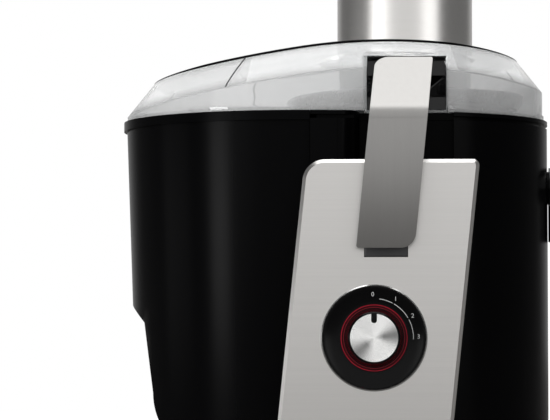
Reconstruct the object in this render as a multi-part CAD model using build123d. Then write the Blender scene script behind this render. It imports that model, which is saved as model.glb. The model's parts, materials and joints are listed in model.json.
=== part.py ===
"""Centrifugal juicer: motor base with a front plate and dial, juice bowl with a swivel spout, spinning
sieve basket, clear lid with a feed chute, pusher, pulp container and two locking arms.

Frame: the origin is on the drive axis in the plane that the feet stand on. +Z is up, -Y is the front
with the dial, +X points to the spout and the pulp container is on the -X side. Millimetres.
"""
from build123d import *
import math
import os

# ---- heights ---------------------------------------------------------------------------------------
PLATE_LOW = 3.0            # underside of the base plate, above the table
PLATE_T = 3.0
DECK_Z = 156.0             # top of the deck over the motor
DECK_T = 3.0
RECESS_FLOOR_Z = 188.0     # floor of the two arm recesses
HOUSING_TOP = 214.5
RIM_LOW = 217.0            # underside of the rim bead
RIM_Z = 219.5              # top of the rim
LID_GAP = 0.3
LID_TOP = 266.4            # crown of the lid on the drive axis
CHUTE_TOP = 384.0
PUSHER_TOP = 427.0

# ---- plan outline: an egg of four tangent arcs ------------------------------------------------------
LEFT_X = -72.0             # centre of the large end
LEFT_R = 116.4
FRONT_R = 260.0            # long arcs of the front and back
RIGHT_REACH = 95.0         # x of the small end
SPLIT_X = -61.0            # where the housing ends and the pulp container begins
BULGE_R = 97.0             # round side of the housing that the container wraps
RUN_GAP = 0.3              # clearance between pieces that slide past each other

# ---- walls -----------------------------------------------------------------------------------------
WALL = 3.0                 # housing
THIN = 2.5                 # container, lid and bowl

# ---- lid -------------------------------------------------------------------------------------------
LID_INSET = 3.3
LIP_INSET = 2.3
LIP_H = 3.5
ARCH_R = 450.0             # crown arc, tangent to straight flanks
ARCH_HALF = 70.0           # half width of the crown arc
BAND_H = 18.5              # sloped band round the lid: height and width
BAND_W = 17.0
ALCOVE_HALF = 26.0
ALCOVE_BACK = 88.0         # distance of an alcove's back wall from the drive axis
ALCOVE_CEILING = 255.4
ALCOVE_CORNER = 8.0
SADDLE_TOP = 245.0         # sloped catch that an arm bears on
SADDLE_SLOPE = 50.0
SADDLE_DEPTH = 9.0
SADDLE_HALF = 14.0
RIB_T = 2.0

# ---- feed chute and pusher -------------------------------------------------------------------------
CHUTE_IN_R = 42.0
CHUTE_WALL = 2.2
SLEEVE_T = 0.8
SLEEVE_GAP = 0.2
CHUTE_LOW = 192.0
PUSHER_GAP = 0.8
PUSHER_LOW = 196.0
PUSHER_WALL = 2.5
CAP_R = 50.0

# ---- pulp container --------------------------------------------------------------------------------
DRAFT = 2.0
BODY_STEP = 1.9            # how far the rim bead stands out of the wall
BOTTOM_ROUND = 40.0
GRIP_X = -171.0            # flat grip facet at its top
GRIP_Z = 86.0
GRIP_LEAN = 4.3

# ---- front plate and dial --------------------------------------------------------------------------
PLATE_FACE_Y = -122.0
PANEL_T = 1.5
PANEL_SLANT = 0.103        # sideways lean per unit of height
PANEL_LOW = 14.0
PANEL_HIGH = 188.0
PANEL_HALF = 55.0
PANEL_BIG_R = 14.0
PANEL_SMALL_R = 4.0
DIAL_X = -20.9
DIAL_Z = 76.0
DIAL_R = 32.0
DIAL_RING_T = 1.4
LIGHT_OUT_R = 21.3
LIGHT_IN_R = 18.9
KNOB_R = 18.3
KNOB_TOP_R = 16.2
KNOB_FACE_Y = -138.0
KNOB_CAP_R = 14.9
BLOCK_FACE_Y = -117.6      # face of the housing behind the front plate

# ---- locking arms ----------------------------------------------------------------------------------
ARM_PIVOT_Y = -128.0
ARM_PIVOT_Z = 136.5
ARM_PIN_R = 1.6
ARM_LOW = 132.0
ARM_BEND_Y = -134.6
ARM_BEND_Z = 218.0
ARM_FOOT_Y = -132.4
ARM_TOP_Y = -104.6
ARM_TOP_Z = 254.0
ARM_T = 1.2
ARM_HALF = 18.2
ARM_SLANT = 0.100
ARM_MID_X = -5.2           # middle of the arm at the bend
ARM_BIG_R = 8.0
ARM_SMALL_R = 1.6
BRACKET_HALF = 13.5
KNUCKLE_R = 2.9

# ---- sieve basket, bowl and drive ------------------------------------------------------------------
BOWL_R = 83.5              # outside of the bowl
BOWL_FLOOR_Z = 166.0
COLLAR_R = 84.5            # bore of the housing's collar
HUB_TUBE_IN = 17.5
HUB_TUBE_OUT = 20.0
HUB_TUBE_TOP = 181.0
BASKET_BASE_Z = 184.0
BASKET_BASE_R = 50.0
BASKET_RIM_R = 77.0
BASKET_RIM_Z = 235.0
MESH_T = 1.0
COUPLING_R = 11.0
HUB_R = 15.5
SHAFT_R = 4.0
SPOUT_Z = 176.0
SPOUT_TIP_X = 116.6
PIPE_R = 9.0
PIPE_WALL = 2.0
FIT = 0.08                 # radial clearance of a running fit

# ---- motor -----------------------------------------------------------------------------------------
CORE_LOW = 62.0
CORE_HIGH = 108.0
STATOR_R = 52.0
ARMATURE_R = 25.0
AIR_GAP = 0.6
BEARING_R = 11.0
BEARING_H = 7.0
LOWER_BEARING_Z = 24.0
UPPER_BEARING_Z = 140.0
FAN_R = 38.0

FEET = [(-48, -72), (-48, 72), (66, -52), (66, 52)]
FOOT_R = 10.0

# ---- sizes worked out from the ones above, and small fittings -----------------------------------------
HOUSING_LOW = PLATE_LOW + PLATE_T
PLATE_TOP = PLATE_LOW + PLATE_T
LID_LOW = RIM_Z + LID_GAP
LID_FRONT_Y = 103.0        # where an alcove's mouth corners begin
ARCH_FAR = 220.0
RIB_X = -114.0             # outer end of the rib that guides the pulp into the container
RIB_Y = -106.0
RIB_TURN = 53.0
RIB_LENGTH = 26.0
BOTTOM_Z = 0.3             # the container just clears the table
BEAD_H = 6.0
LIP_FACE_Y = 115.2         # back of the front plate's lip beside the container
PANEL_LIP = 1.6
PANEL_BEVEL = 2.2
BLOCK_BACK_Y = -80.0
SEAL_R = 10.0
SPOUT_SLOT = 14.0
FLANGE_STEP = 4.0
PIPE_END_X = 106.0
SPOUT_BACK_X = 96.0
NOZZLE_LOW = 140.0
SCREWS = [(-30, -107.5), (-30, 107.5), (53, -72.4), (53, 72.4)]
SCREW_R = 2.0
SCREW_GAP = 0.3
BOSS_R = 6.0
BOSS_TOP = 36.0
BUSHES = [(36, 0), (-36, 0), (0, 36), (0, -36)]
BUSH_R = 6.0
DECK_BOSS_Z = 145.0
FOOT_STEM_R = 3.0
VENTS = 9
VENT_PITCH = 8.0
VENT_W = 3.6
VENT_LOW = 40.0
VENT_HIGH = 78.0
DISH_Y = 120.8
POINTER_W = 3.6
POINTER_L = 5.8
SPINDLE_R = 3.0
SWITCH_NECK_R = 5.0
SWITCH_BACK_Y = -90.0
BOARD_Y = -72.0
GLAND_X = 10.0
GLAND_Z = 24.0
GLAND_R = 8.0
GLAND_BORE_R = 3.6
GLAND_WALL_Y = 105.3
GLAND_BOSS_R = 12.0
REAR_PAD_HALF = 17.0       # pad on the rear wall that carries the rear arm
REAR_PAD_LOW = 112.0
REAR_PAD_Y = 106.8
PLUNGER_X = -9.0
PLUNGER_Z = 172.0
PLUNGER_R = 2.0
STATOR_HALF = 42.0
CORNER = 33.0
LEG_R = 4.0
COIL_IN = 26.5
COIL_OUT = 37.5
COIL_LEG_IN = 22.0
COIL_LEG_OUT = 28.0
COIL_END = 8.0
UPPER_PLATE_Z = 133.0
LOWER_PLATE_Z = 29.0
COMMUTATOR_R = 13.0
BRUSH_Z = 43.0
FAN_Z = 119.0
COUPLING_LOW = 160.0
COUPLING_TOP = 179.0
GRATER_R = 46.0
ARM_X = ARM_MID_X + ARM_SLANT * (ARM_PIVOT_Z - ARM_BEND_Z)
ARM_HEAD_X = ARM_MID_X + ARM_SLANT * (SADDLE_TOP - ARM_BEND_Z)
BRACKET_LOW = 126.8
BRACKET_HIGH = 146.5
BRACKET_FACE_Y = -123.2
LUG_HALF = 8.7
LEVER_LOW = 141.5
LEVER_BACK_Y = -124.6
SEAT_GAP = 0.4

os.makedirs("parts", exist_ok=True)


# ---- helpers ---------------------------------------------------------------------------------------
def box(x0, x1, y0, y1, z0, z1):
    """Box between two corners."""
    return Pos((x0 + x1) / 2, (y0 + y1) / 2, (z0 + z1) / 2) * Box(x1 - x0, y1 - y0, z1 - z0)


def rod(radius, low, high, x=0.0, y=0.0):
    """Upright cylinder between two heights."""
    return Pos(x, y, (low + high) / 2) * Cylinder(radius, high - low)


def ring(outer, inner, low, high, x=0.0, y=0.0):
    """Upright ring between two heights."""
    return rod(outer, low, high, x, y) - rod(inner, low - 1, high + 1, x, y)


def rod_y(radius, y0, y1, x, z):
    """Cylinder along Y."""
    return Pos(x, (y0 + y1) / 2, z) * Rot(90, 0, 0) * Cylinder(radius, abs(y1 - y0))


def rod_x(radius, x0, x1, y, z):
    """Cylinder along X."""
    return Pos((x0 + x1) / 2, y, z) * Rot(0, 90, 0) * Cylinder(radius, abs(x1 - x0))


def front_prism(face, back_y, front_y):
    """Extrudes a face drawn in X and Z from back_y towards the front, to front_y."""
    return extrude(Plane.XZ.offset(-back_y) * face, back_y - front_y)


def side_prism(face, x0, x1):
    """Extrudes a face drawn in Y and Z along X."""
    return extrude(Plane.YZ.offset(x0) * face, x1 - x0)


def polygon(points):
    """Closed face through the points."""
    return make_face(Polyline(*points, close=True))


def turned(points, x=0.0, y=0.0):
    """Solid of revolution about an upright axis, from (radius, height) points."""
    return Pos(x, y, 0) * revolve(Plane.XZ * polygon(points), Axis.Z)


def both(shape):
    """The shape and its mirror image behind the drive axis."""
    return shape + mirror(shape, Plane.XZ)


def save(name, shape):
    """Writes one sub-part."""
    solids = shape.solids()
    export_step(solids[0] if len(solids) == 1 else Compound(children=solids), f"parts/{name}.step")


# ---- plan outline ----------------------------------------------------------------------------------
def egg(inset):
    """Plan outline moved inwards. The small end's circle is the one that is tangent to both long arcs."""
    rise = FRONT_R - LEFT_R
    lack = FRONT_R - (RIGHT_REACH - LEFT_X)
    step = (rise ** 2 - lack ** 2) / (2 * lack)
    small_x = LEFT_X + step
    small_r = RIGHT_REACH - small_x - inset
    reach = math.hypot(step, rise)
    long_r = FRONT_R - inset
    left_r = LEFT_R - inset
    end_x = LEFT_X + long_r * step / reach
    end_y = rise - long_r * rise / reach
    mid_angle = (math.atan2(-rise, step) - math.pi / 2) / 2
    mid_x = LEFT_X + long_r * math.cos(mid_angle)
    mid_y = rise + long_r * math.sin(mid_angle)
    left = ThreePointArc((LEFT_X, left_r), (LEFT_X - left_r, 0), (LEFT_X, -left_r))
    front = ThreePointArc((LEFT_X, -left_r), (mid_x, mid_y), (end_x, end_y))
    right = ThreePointArc((end_x, end_y), (small_x + small_r, 0), (end_x, -end_y))
    back = ThreePointArc((end_x, -end_y), (mid_x, -mid_y), (LEFT_X, left_r))
    return make_face(left + front + right + back)


def egg_block(inset, low, high):
    """Upright prism over the outline."""
    return Pos(0, 0, low) * extrude(egg(inset), high - low)


def housing_plan(inset, low, high):
    """The housing's share of the outline: right of the split, and the round side under the bowl."""
    body = egg_block(inset, low, high) & box(SPLIT_X + inset, 200, -200, 200, low, high)
    return body + (rod(BULGE_R - inset, low, high) & box(-200, 0, -200, 200, low, high))


def recess(grow, low, high):
    """Room for one locking arm in front of the bowl, with rounded outer corners."""
    half = ALCOVE_HALF + 4 + grow
    back = ALCOVE_BACK - grow
    corner = 14.0 - grow
    front = LEFT_R - 2
    gap = box(-half, half, -200, -back, low, high)
    square = box(-half - corner, half + corner, -200, -front + corner, low, high)
    rounds = rod(corner, low, high, -half - corner, -front + corner)
    rounds += rod(corner, low, high, half + corner, -front + corner)
    return gap + (square - rounds - box(-half - corner, half + corner, -front + corner, 0, low, high))


# ---- base ------------------------------------------------------------------------------------------
def leaning(half, low, high, mid_x, mid_z, slope, big_r, small_r, big_low_side):
    """Leaning strip drawn in X and Z: two opposite corners have the large radius and two the small one."""
    def corner(side, z):
        return (mid_x + side * half + slope * (z - mid_z), z)

    def rounded(face, side, z, radius):
        x = corner(side, z)[0]
        return fillet(face.vertices().sort_by_distance((x, z))[0], radius)

    face = polygon([corner(-1, low), corner(1, low), corner(1, high), corner(-1, high)])
    face = rounded(face, big_low_side, low, big_r)
    face = rounded(face, -big_low_side, high, big_r)
    face = rounded(face, -big_low_side, low, small_r)
    return rounded(face, big_low_side, high, small_r)


def slanted_face(inset, big_r, small_r):
    """The leaning front plate's outline."""
    return leaning(PANEL_HALF - inset, PANEL_LOW + inset, PANEL_HIGH - inset, DIAL_X, DIAL_Z, PANEL_SLANT,
                   big_r, small_r, 1)


def front_block(inset, back_y, face_y):
    """Block behind the front plate. Left of the split it is only a thin lip, clear of the container."""
    face = slanted_face(inset, PANEL_BIG_R - inset, PANEL_SMALL_R)
    block = front_prism(face, back_y, face_y)
    return block - box(-200, SPLIT_X + WALL, -LIP_FACE_Y, 0, 0, 300)


def base_housing():
    """Moulded shell round the motor and the bowl, with a deck, a collar, two arm recesses and bosses."""
    body = housing_plan(0, HOUSING_LOW, HOUSING_TOP)
    body += front_block(PANEL_LIP, BLOCK_BACK_Y, BLOCK_FACE_Y)
    body -= both(recess(0, RECESS_FLOOR_Z, 300))
    room = housing_plan(WALL, HOUSING_LOW - 1, HOUSING_TOP - WALL)
    room += front_prism(slanted_face(PANEL_LIP + WALL, PANEL_BIG_R - WALL - PANEL_LIP, 1.0),
                        BLOCK_BACK_Y, BLOCK_FACE_Y + WALL) & box(SPLIT_X + WALL, 200, -200, 0, 0, 300)
    room -= both(recess(WALL, RECESS_FLOOR_Z - WALL, 300))
    room -= rod(COLLAR_R + WALL, DECK_Z - DECK_T, 300)
    body -= room
    body -= rod(COLLAR_R, DECK_Z, 300)
    body -= rod(SEAL_R, DECK_Z - DECK_T - 1, DECK_Z + 1)
    cheek = SPOUT_SLOT + WALL
    cheeks = box(COLLAR_R, RIGHT_REACH - 1, -cheek, cheek, DECK_Z - DECK_T, HOUSING_TOP)
    body += cheeks & housing_plan(0, HOUSING_LOW, HOUSING_TOP) - rod(COLLAR_R, 0, 300)
    body -= box(BOWL_R - 6, 200, -SPOUT_SLOT, SPOUT_SLOT, SPOUT_Z, 300)
    body -= rod_x(SPOUT_SLOT, BOWL_R - 6, 200, 0, SPOUT_Z)
    for x, y in SCREWS:
        body += rod(BOSS_R, HOUSING_LOW, BOSS_TOP, x, y)
        body -= rod(SCREW_R + SCREW_GAP, 0, BOSS_TOP - WALL, x, y)
    for x, y in BUSHES:
        body += rod(BUSH_R, DECK_BOSS_Z, DECK_Z - DECK_T, x, y)
        body -= rod(SCREW_R + SCREW_GAP, 0, DECK_Z - 1.5, x, y)
    body -= rod_y(SWITCH_NECK_R + SCREW_GAP, BLOCK_FACE_Y - 1, BLOCK_FACE_Y + WALL + 1, DIAL_X, DIAL_Z)
    body -= rod_y(PLUNGER_R + FIT, BLOCK_FACE_Y - 1, BLOCK_FACE_Y + WALL + 1, PLUNGER_X, PLUNGER_Z)
    body += rod_y(GLAND_BOSS_R, GLAND_WALL_Y - 6, GLAND_WALL_Y + 1.2, GLAND_X, GLAND_Z)
    body -= rod_y(GLAND_R, 0, 200, GLAND_X, GLAND_Z)
    pad_x = (ARM_X - REAR_PAD_HALF, ARM_X + REAR_PAD_HALF)
    pad = box(*pad_x, REAR_PAD_Y, -BLOCK_FACE_Y, REAR_PAD_LOW, RECESS_FLOOR_Z - 1.2)
    body += fillet(pad.edges().filter_by(lambda e: e.bounding_box().min.Y > -BLOCK_FACE_Y - 0.01), 3)
    for k in range(VENTS):
        x = (k - (VENTS - 1) / 2) * VENT_PITCH
        body -= box(x - VENT_W / 2, x + VENT_W / 2, 80, 200, VENT_LOW, VENT_HIGH)
    return body


def base_plate():
    """Floor of the base, with air slots and holes for the screws and the feet."""
    plate = housing_plan(1.0, PLATE_LOW, PLATE_LOW + PLATE_T)
    for x, y in SCREWS:
        plate -= rod(SCREW_R + SCREW_GAP, 0, 10, x, y)
    for x, y in FEET:
        plate -= rod(FOOT_STEM_R, 0, 10, x, y)
    for k in range(VENTS):
        y = (k - (VENTS - 1) / 2) * VENT_PITCH
        plate -= box(-20, 20, y - VENT_W / 2, y + VENT_W / 2, 0, 10)
    return plate


def rubber_feet():
    """Four feet, each with a stem through the base plate."""
    feet = []
    for x, y in FEET:
        foot = rod(FOOT_R, 0, PLATE_LOW, x, y)
        foot = fillet(foot.edges().sort_by(Axis.Z)[0], 1.0)
        feet.append(foot + rod(FOOT_STEM_R, PLATE_LOW - 0.5, PLATE_LOW + PLATE_T, x, y))
    return Compound(children=[foot.solids()[0] for foot in feet])


def base_screws():
    """Screws up through the base plate into the housing's bosses."""
    screws = []
    for x, y in SCREWS:
        screw = rod(SCREW_R, PLATE_LOW, BOSS_TOP - WALL - 2, x, y)
        screw += rod(SCREW_R * 2, PLATE_LOW - 1.6, PLATE_LOW, x, y)
        screws.append(screw.solids()[0])
    return Compound(children=screws)


def front_panel():
    """Formed metal plate: a flat face with its edges turned back to the housing."""
    outer = front_prism(slanted_face(0, PANEL_BIG_R, PANEL_SMALL_R), BLOCK_FACE_Y, PLATE_FACE_Y)
    face_edges = outer.edges().filter_by(lambda e: e.bounding_box().max.Y < PLATE_FACE_Y + 0.1)
    outer = chamfer(face_edges, PANEL_BEVEL)
    inner = front_prism(slanted_face(PANEL_T, PANEL_BIG_R - PANEL_T, PANEL_SMALL_R - PANEL_T),
                        BLOCK_FACE_Y + 1, PLATE_FACE_Y + PANEL_T)
    panel = outer - inner
    panel -= rod_y(DIAL_R + DIAL_RING_T, BLOCK_FACE_Y, PLATE_FACE_Y - 1, DIAL_X, DIAL_Z)
    half = BRACKET_HALF + 0.3
    panel -= box(ARM_X - half, ARM_X + half, -200, 0, BRACKET_LOW - 0.3, BRACKET_HIGH + 0.3)
    panel -= rod_y(PLUNGER_R + 0.4, BLOCK_FACE_Y, PLATE_FACE_Y - 1, PLUNGER_X, PLUNGER_Z)
    return panel


# ---- dial ------------------------------------------------------------------------------------------
def dial_turned(points):
    """Solid of revolution about the dial's axis, from (radius, distance in front of the drive axis)."""
    return Pos(DIAL_X, 0, DIAL_Z) * Rot(90, 0, 0) * revolve(Plane.XZ * polygon(points), Axis.Z)


def dial_bezel():
    """Shallow black dish behind the knob, with a groove for the light ring."""
    back = -BLOCK_FACE_Y
    rim = -PLATE_FACE_Y
    neck = SWITCH_NECK_R + SCREW_GAP
    groove = DISH_Y - 1.2
    return dial_turned([(neck, back), (DIAL_R, back), (DIAL_R, rim + 0.6), (DIAL_R - 1, rim + 0.6),
                        (DIAL_R - 4, DISH_Y), (LIGHT_OUT_R, DISH_Y), (LIGHT_OUT_R, groove),
                        (LIGHT_IN_R, groove), (LIGHT_IN_R, DISH_Y), (neck, DISH_Y)])


def dial_trim_ring():
    """Bright ring round the dish."""
    rim = -PLATE_FACE_Y
    outside = DIAL_R + DIAL_RING_T
    return dial_turned([(DIAL_R, -BLOCK_FACE_Y), (outside, -BLOCK_FACE_Y), (outside, rim + 0.8),
                        (DIAL_R + DIAL_RING_T / 2, rim + 1.4), (DIAL_R, rim + 0.8)])


def dial_light_ring():
    """Red light guide in the dish's groove."""
    return dial_turned([(LIGHT_IN_R, DISH_Y - 1.2), (LIGHT_OUT_R, DISH_Y - 1.2), (LIGHT_OUT_R, DISH_Y + 0.2),
                        (LIGHT_IN_R, DISH_Y + 0.2)])


def knob_body():
    """Tapered knob with a sunk front face and a raised pointer that fills the cap's notch."""
    face = -KNOB_FACE_Y
    sunk = face - 0.9
    foot = DISH_Y + 0.4
    knob = dial_turned([(SPINDLE_R, foot), (KNOB_R, foot), (KNOB_R, DISH_Y + 2), (KNOB_TOP_R, face - 0.8),
                        (KNOB_TOP_R - 0.8, face), (KNOB_CAP_R, face), (KNOB_CAP_R, sunk), (0, sunk),
                        (0, sunk - 3), (SPINDLE_R, sunk - 3)])
    return knob + pointer(0, KNOB_CAP_R + 0.4, -sunk, -face)


def pointer(grow, reach, back_y, front_y):
    """Round-ended bar from the cap's top edge towards the knob's middle."""
    half = POINTER_W / 2 + grow
    foot = DIAL_Z + KNOB_CAP_R - POINTER_L + half
    bar = box(DIAL_X - half, DIAL_X + half, front_y, back_y, foot, DIAL_Z + reach)
    return bar + rod_y(half, back_y, front_y, DIAL_X, foot)


def knob_cap():
    """Spun disc let into the knob's face, with a notch for the pointer."""
    face = -KNOB_FACE_Y
    disc = dial_turned([(0, face - 0.9), (KNOB_CAP_R, face - 0.9), (KNOB_CAP_R, face), (0, face)])
    return disc - pointer(0, KNOB_CAP_R + 2, -face + 2, -face - 2)


def switch_spindle():
    """Shaft from the switch to the knob."""
    return rod_y(SPINDLE_R, SWITCH_BACK_Y + 8, KNOB_FACE_Y + 3.9, DIAL_X, DIAL_Z)


def rotary_switch():
    """Four-position switch: body, threaded neck through the housing and blade terminals."""
    face = BLOCK_FACE_Y + WALL
    body = box(DIAL_X - 15, DIAL_X + 15, face, SWITCH_BACK_Y, DIAL_Z - 15, DIAL_Z + 15)
    body += rod_y(SWITCH_NECK_R, face, BLOCK_FACE_Y - 2, DIAL_X, DIAL_Z)
    for x in (-9, -3, 3, 9):
        middle = DIAL_X + x
        body += box(middle - 0.4, middle + 0.4, SWITCH_BACK_Y, SWITCH_BACK_Y + 6, DIAL_Z - 5, DIAL_Z + 5)
    return body - rod_y(SPINDLE_R + FIT, SWITCH_BACK_Y + 8, -200, DIAL_X, DIAL_Z)


# ---- electrics in the base -------------------------------------------------------------------------
def control_board():
    """Speed control board on edge, with two posts that stand on the base plate."""
    board = box(-44, 20, BOARD_Y, BOARD_Y + 1.6, 12, 52)
    for x in (-36, 12):
        board += box(x - 3, x + 3, BOARD_Y - 6, BOARD_Y, PLATE_TOP, 24)
    board += box(-38, -26, BOARD_Y - 8, BOARD_Y, 30, 42) + box(-20, -14, BOARD_Y - 7, BOARD_Y, 34, 48)
    return board


def heat_sink():
    """Finned heat sink of the speed control, standing on the base plate beside the board."""
    sink = box(22, 25, BOARD_Y - 9, BOARD_Y + 9, PLATE_TOP, 50)
    for k in range(5):
        y = BOARD_Y - 8 + 4 * k
        sink += box(25, 36, y - 0.7, y + 0.7, PLATE_TOP, 50)
    return sink


def suppression_capacitor():
    """Mains capacitor, standing on the base plate."""
    block = box(-30, -4, 78, 90, PLATE_TOP, 30)
    return fillet(block.edges().filter_by(Axis.Z), 2)


def thermal_cutout():
    """Round cut-out clipped to the side of the field core."""
    return rod_x(6, -STATOR_HALF - 5, -STATOR_HALF - 0.1, 0, CORE_HIGH - 12)


def cord_gland():
    """Rubber bush in the rear wall with the bore that the mains lead would pass through."""
    wall = GLAND_WALL_Y
    gland = rod_y(GLAND_R, wall - WALL - 2, wall + 2, GLAND_X, GLAND_Z)
    gland += rod_y(GLAND_R + 2, wall + 1.2, wall + 4, GLAND_X, GLAND_Z)
    return gland - rod_y(GLAND_BORE_R, wall - 20, wall + 20, GLAND_X, GLAND_Z)


def interlock_switch():
    """Microswitch behind the front wall, worked by the plunger."""
    face = BLOCK_FACE_Y + WALL
    body = box(PLUNGER_X - 10, PLUNGER_X + 10, face + 0.2, face + 11, PLUNGER_Z - 9, PLUNGER_Z + 7)
    return body - rod_y(PLUNGER_R + 0.4, face, face + 6.2, PLUNGER_X, PLUNGER_Z)


def interlock_plunger():
    """Button through the front wall that the closed arm holds in."""
    return rod_y(PLUNGER_R, BLOCK_FACE_Y + WALL + 6, LEVER_BACK_Y + 0.3, PLUNGER_X, PLUNGER_Z)


# ---- motor -----------------------------------------------------------------------------------------
def corners():
    """The four corners where the long motor screws stand."""
    return [(sx * CORNER, sy * CORNER) for sx in (-1, 1) for sy in (-1, 1)]


def core_plan(low, high):
    """Square field core with its corners rounded off."""
    return box(-STATOR_HALF, STATOR_HALF, -STATOR_HALF, STATOR_HALF, low, high) & rod(STATOR_R, low, high)


def motor_stator():
    """Laminated field core with two poles and room for their coils."""
    core = core_plan(CORE_LOW, CORE_HIGH) - rod(ARMATURE_R + AIR_GAP, 0, 300)
    for sx in (-1, 1):
        for sy in (-1, 1):
            along = sorted((sx * COIL_IN, sx * COIL_OUT))
            across = sorted((sy * COIL_LEG_IN, sy * COIL_LEG_OUT))
            core -= box(*along, *across, 0, 300)
    for x, y in corners():
        core -= rod(SCREW_R + SCREW_GAP, 0, 300, x, y)
    return core


def motor_windings():
    """Two field coils, each a flat loop round its pole."""
    coils = []
    gap = 0.3
    low = CORE_LOW - COIL_END
    high = CORE_HIGH + COIL_END
    for side in (-1, 1):
        x0, x1 = sorted((side * (COIL_IN + gap), side * (COIL_OUT - gap)))
        loop = box(x0, x1, -COIL_LEG_OUT + gap, COIL_LEG_OUT - gap, low, high)
        loop = fillet(loop.edges().filter_by(Axis.X), 4)
        loop -= box(x0 - 1, x1 + 1, -COIL_LEG_IN - gap, COIL_LEG_IN + gap, CORE_LOW - 1, CORE_HIGH + 1)
        coils.append(loop.solids()[0])
    return Compound(children=coils)


def end_bracket(plate_low, plate_high, bearing_z, leg_low, leg_high):
    """Motor end plate with a bearing pocket and four legs that stand on the core's corners."""
    part = core_plan(plate_low, plate_high)
    part -= box(-14, 14, 22, 60, 0, 300) + box(-14, 14, -60, -22, 0, 300)
    boss_low = min(bearing_z - BEARING_H / 2 - 1.5, plate_low)
    part += rod(BEARING_R + 3, boss_low, max(bearing_z + BEARING_H / 2, plate_high))
    for x, y in corners():
        part += rod(LEG_R, leg_low, leg_high, x, y)
        part -= rod(SCREW_R + SCREW_GAP, 0, 300, x, y)
    part -= rod(BEARING_R, bearing_z - BEARING_H / 2, bearing_z + BEARING_H / 2 + 1)
    return part - rod(SHAFT_R + 1, 0, 300)


def motor_upper_bracket():
    """Upper end plate, hung from the deck."""
    part = end_bracket(UPPER_PLATE_Z, UPPER_PLATE_Z + 2.5, UPPER_BEARING_Z, CORE_HIGH, UPPER_PLATE_Z)
    for x, y in BUSHES:
        part -= rod(SCREW_R + SCREW_GAP, 0, 300, x, y)
    return part


def motor_lower_bracket():
    """Lower end plate, which also carries the brush gear."""
    part = end_bracket(LOWER_PLATE_Z, LOWER_PLATE_Z + 2.5, LOWER_BEARING_Z, LOWER_PLATE_Z, CORE_LOW)
    return part - rod(BEARING_R, LOWER_BEARING_Z, 300)


def bearing(z):
    """Ball bearing drawn as one ring."""
    ring_part = ring(BEARING_R, SHAFT_R, z - BEARING_H / 2, z + BEARING_H / 2)
    return ring_part - ring(BEARING_R - 2, SHAFT_R + 2, z + BEARING_H / 2 - 0.6, z + BEARING_H)


def brush_holders():
    """Two box guides on the lower end plate."""
    holders = []
    for side in (-1, 1):
        x0, x1 = sorted((side * (COMMUTATOR_R + 3), side * 36))
        holder = box(x0, x1, -6, 6, LOWER_PLATE_Z + 2.5, BRUSH_Z + 7)
        holder -= box(x0 - 1, x1 + 1, -4.2, 4.2, BRUSH_Z - 4.2, BRUSH_Z + 4.2)
        holders.append(holder.solids()[0])
    return Compound(children=holders)


def carbon_brushes():
    """Two brushes, just clear of the commutator."""
    brushes = []
    for side in (-1, 1):
        x0, x1 = sorted((side * (COMMUTATOR_R + 1), side * 30))
        brush = box(x0, x1, -4, 4, BRUSH_Z - 4, BRUSH_Z + 4) - rod(COMMUTATOR_R + 0.4, 0, 300)
        brushes.append(brush.solids()[0])
    return Compound(children=brushes)


def motor_screws():
    """Four long screws through both end plates and the core."""
    top = UPPER_PLATE_Z + 2.5
    screws = []
    for x, y in corners():
        screw = rod(SCREW_R, LOWER_PLATE_Z - 3, top, x, y) + rod(SCREW_R * 2, top, top + 2.5, x, y)
        screws.append(screw.solids()[0])
    return Compound(children=screws)


def motor_mount_bushes():
    """Rubber bushes between the upper end plate and the deck."""
    bushes = [ring(BUSH_R, SCREW_R + SCREW_GAP, UPPER_PLATE_Z + 2.5, DECK_BOSS_Z, x, y) for x, y in BUSHES]
    return Compound(children=[bush.solids()[0] for bush in bushes])


def mount_screws():
    """Screws that hang the motor from the deck."""
    screws = []
    for x, y in BUSHES:
        screw = rod(SCREW_R, UPPER_PLATE_Z, DECK_Z - 4, x, y)
        screw += rod(SCREW_R * 2, UPPER_PLATE_Z - 2, UPPER_PLATE_Z, x, y)
        screws.append(screw.solids()[0])
    return Compound(children=screws)


# ---- rotor -----------------------------------------------------------------------------------------
def armature_core():
    """Laminated rotor with winding slots."""
    core = ring(ARMATURE_R, SHAFT_R, CORE_LOW, CORE_HIGH)
    for k in range(12):
        core -= Rot(0, 0, 30 * k) * box(ARMATURE_R - 8, ARMATURE_R + 1, -1.6, 1.6, 0, 300)
    return core


def armature_windings():
    """Bundled winding ends above and below the rotor core."""
    def bundle(near, far):
        mid = (near + far) / 2
        outline = [(6, near), (ARMATURE_R - 3, near), (ARMATURE_R - 4, mid), (ARMATURE_R - 8, far), (6, far)]
        return turned(outline)

    ends = [bundle(CORE_HIGH, CORE_HIGH + 8), bundle(CORE_LOW, CORE_LOW - 8)]
    return Compound(children=[end.solids()[0] for end in ends])


def commutator():
    """Segmented commutator under the rotor core."""
    drum = ring(COMMUTATOR_R, SHAFT_R, BRUSH_Z - 7, BRUSH_Z + 7)
    for k in range(24):
        drum -= Rot(0, 0, 15 * k) * box(COMMUTATOR_R - 1, COMMUTATOR_R + 1, -0.3, 0.3, 0, 300)
    return drum


def cooling_fan():
    """Fan above the rotor core: hub, disc and upright blades."""
    fan = ring(10, SHAFT_R, FAN_Z, FAN_Z + 10) + ring(FAN_R, SHAFT_R, FAN_Z, FAN_Z + 1.5)
    for k in range(11):
        fan += Rot(0, 0, 360 / 11 * k) * box(9, FAN_R - 1, -0.8, 0.8, FAN_Z, FAN_Z + 9)
    return fan


def motor_shaft():
    """Shaft through the whole motor up to the drive coupling."""
    return rod(SHAFT_R, LOWER_BEARING_Z - 4, COUPLING_TOP - 2)


def shaft_seal():
    """Lip seal in the deck."""
    return ring(SEAL_R, SHAFT_R + FIT, DECK_Z - DECK_T, DECK_Z + 2)


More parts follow.
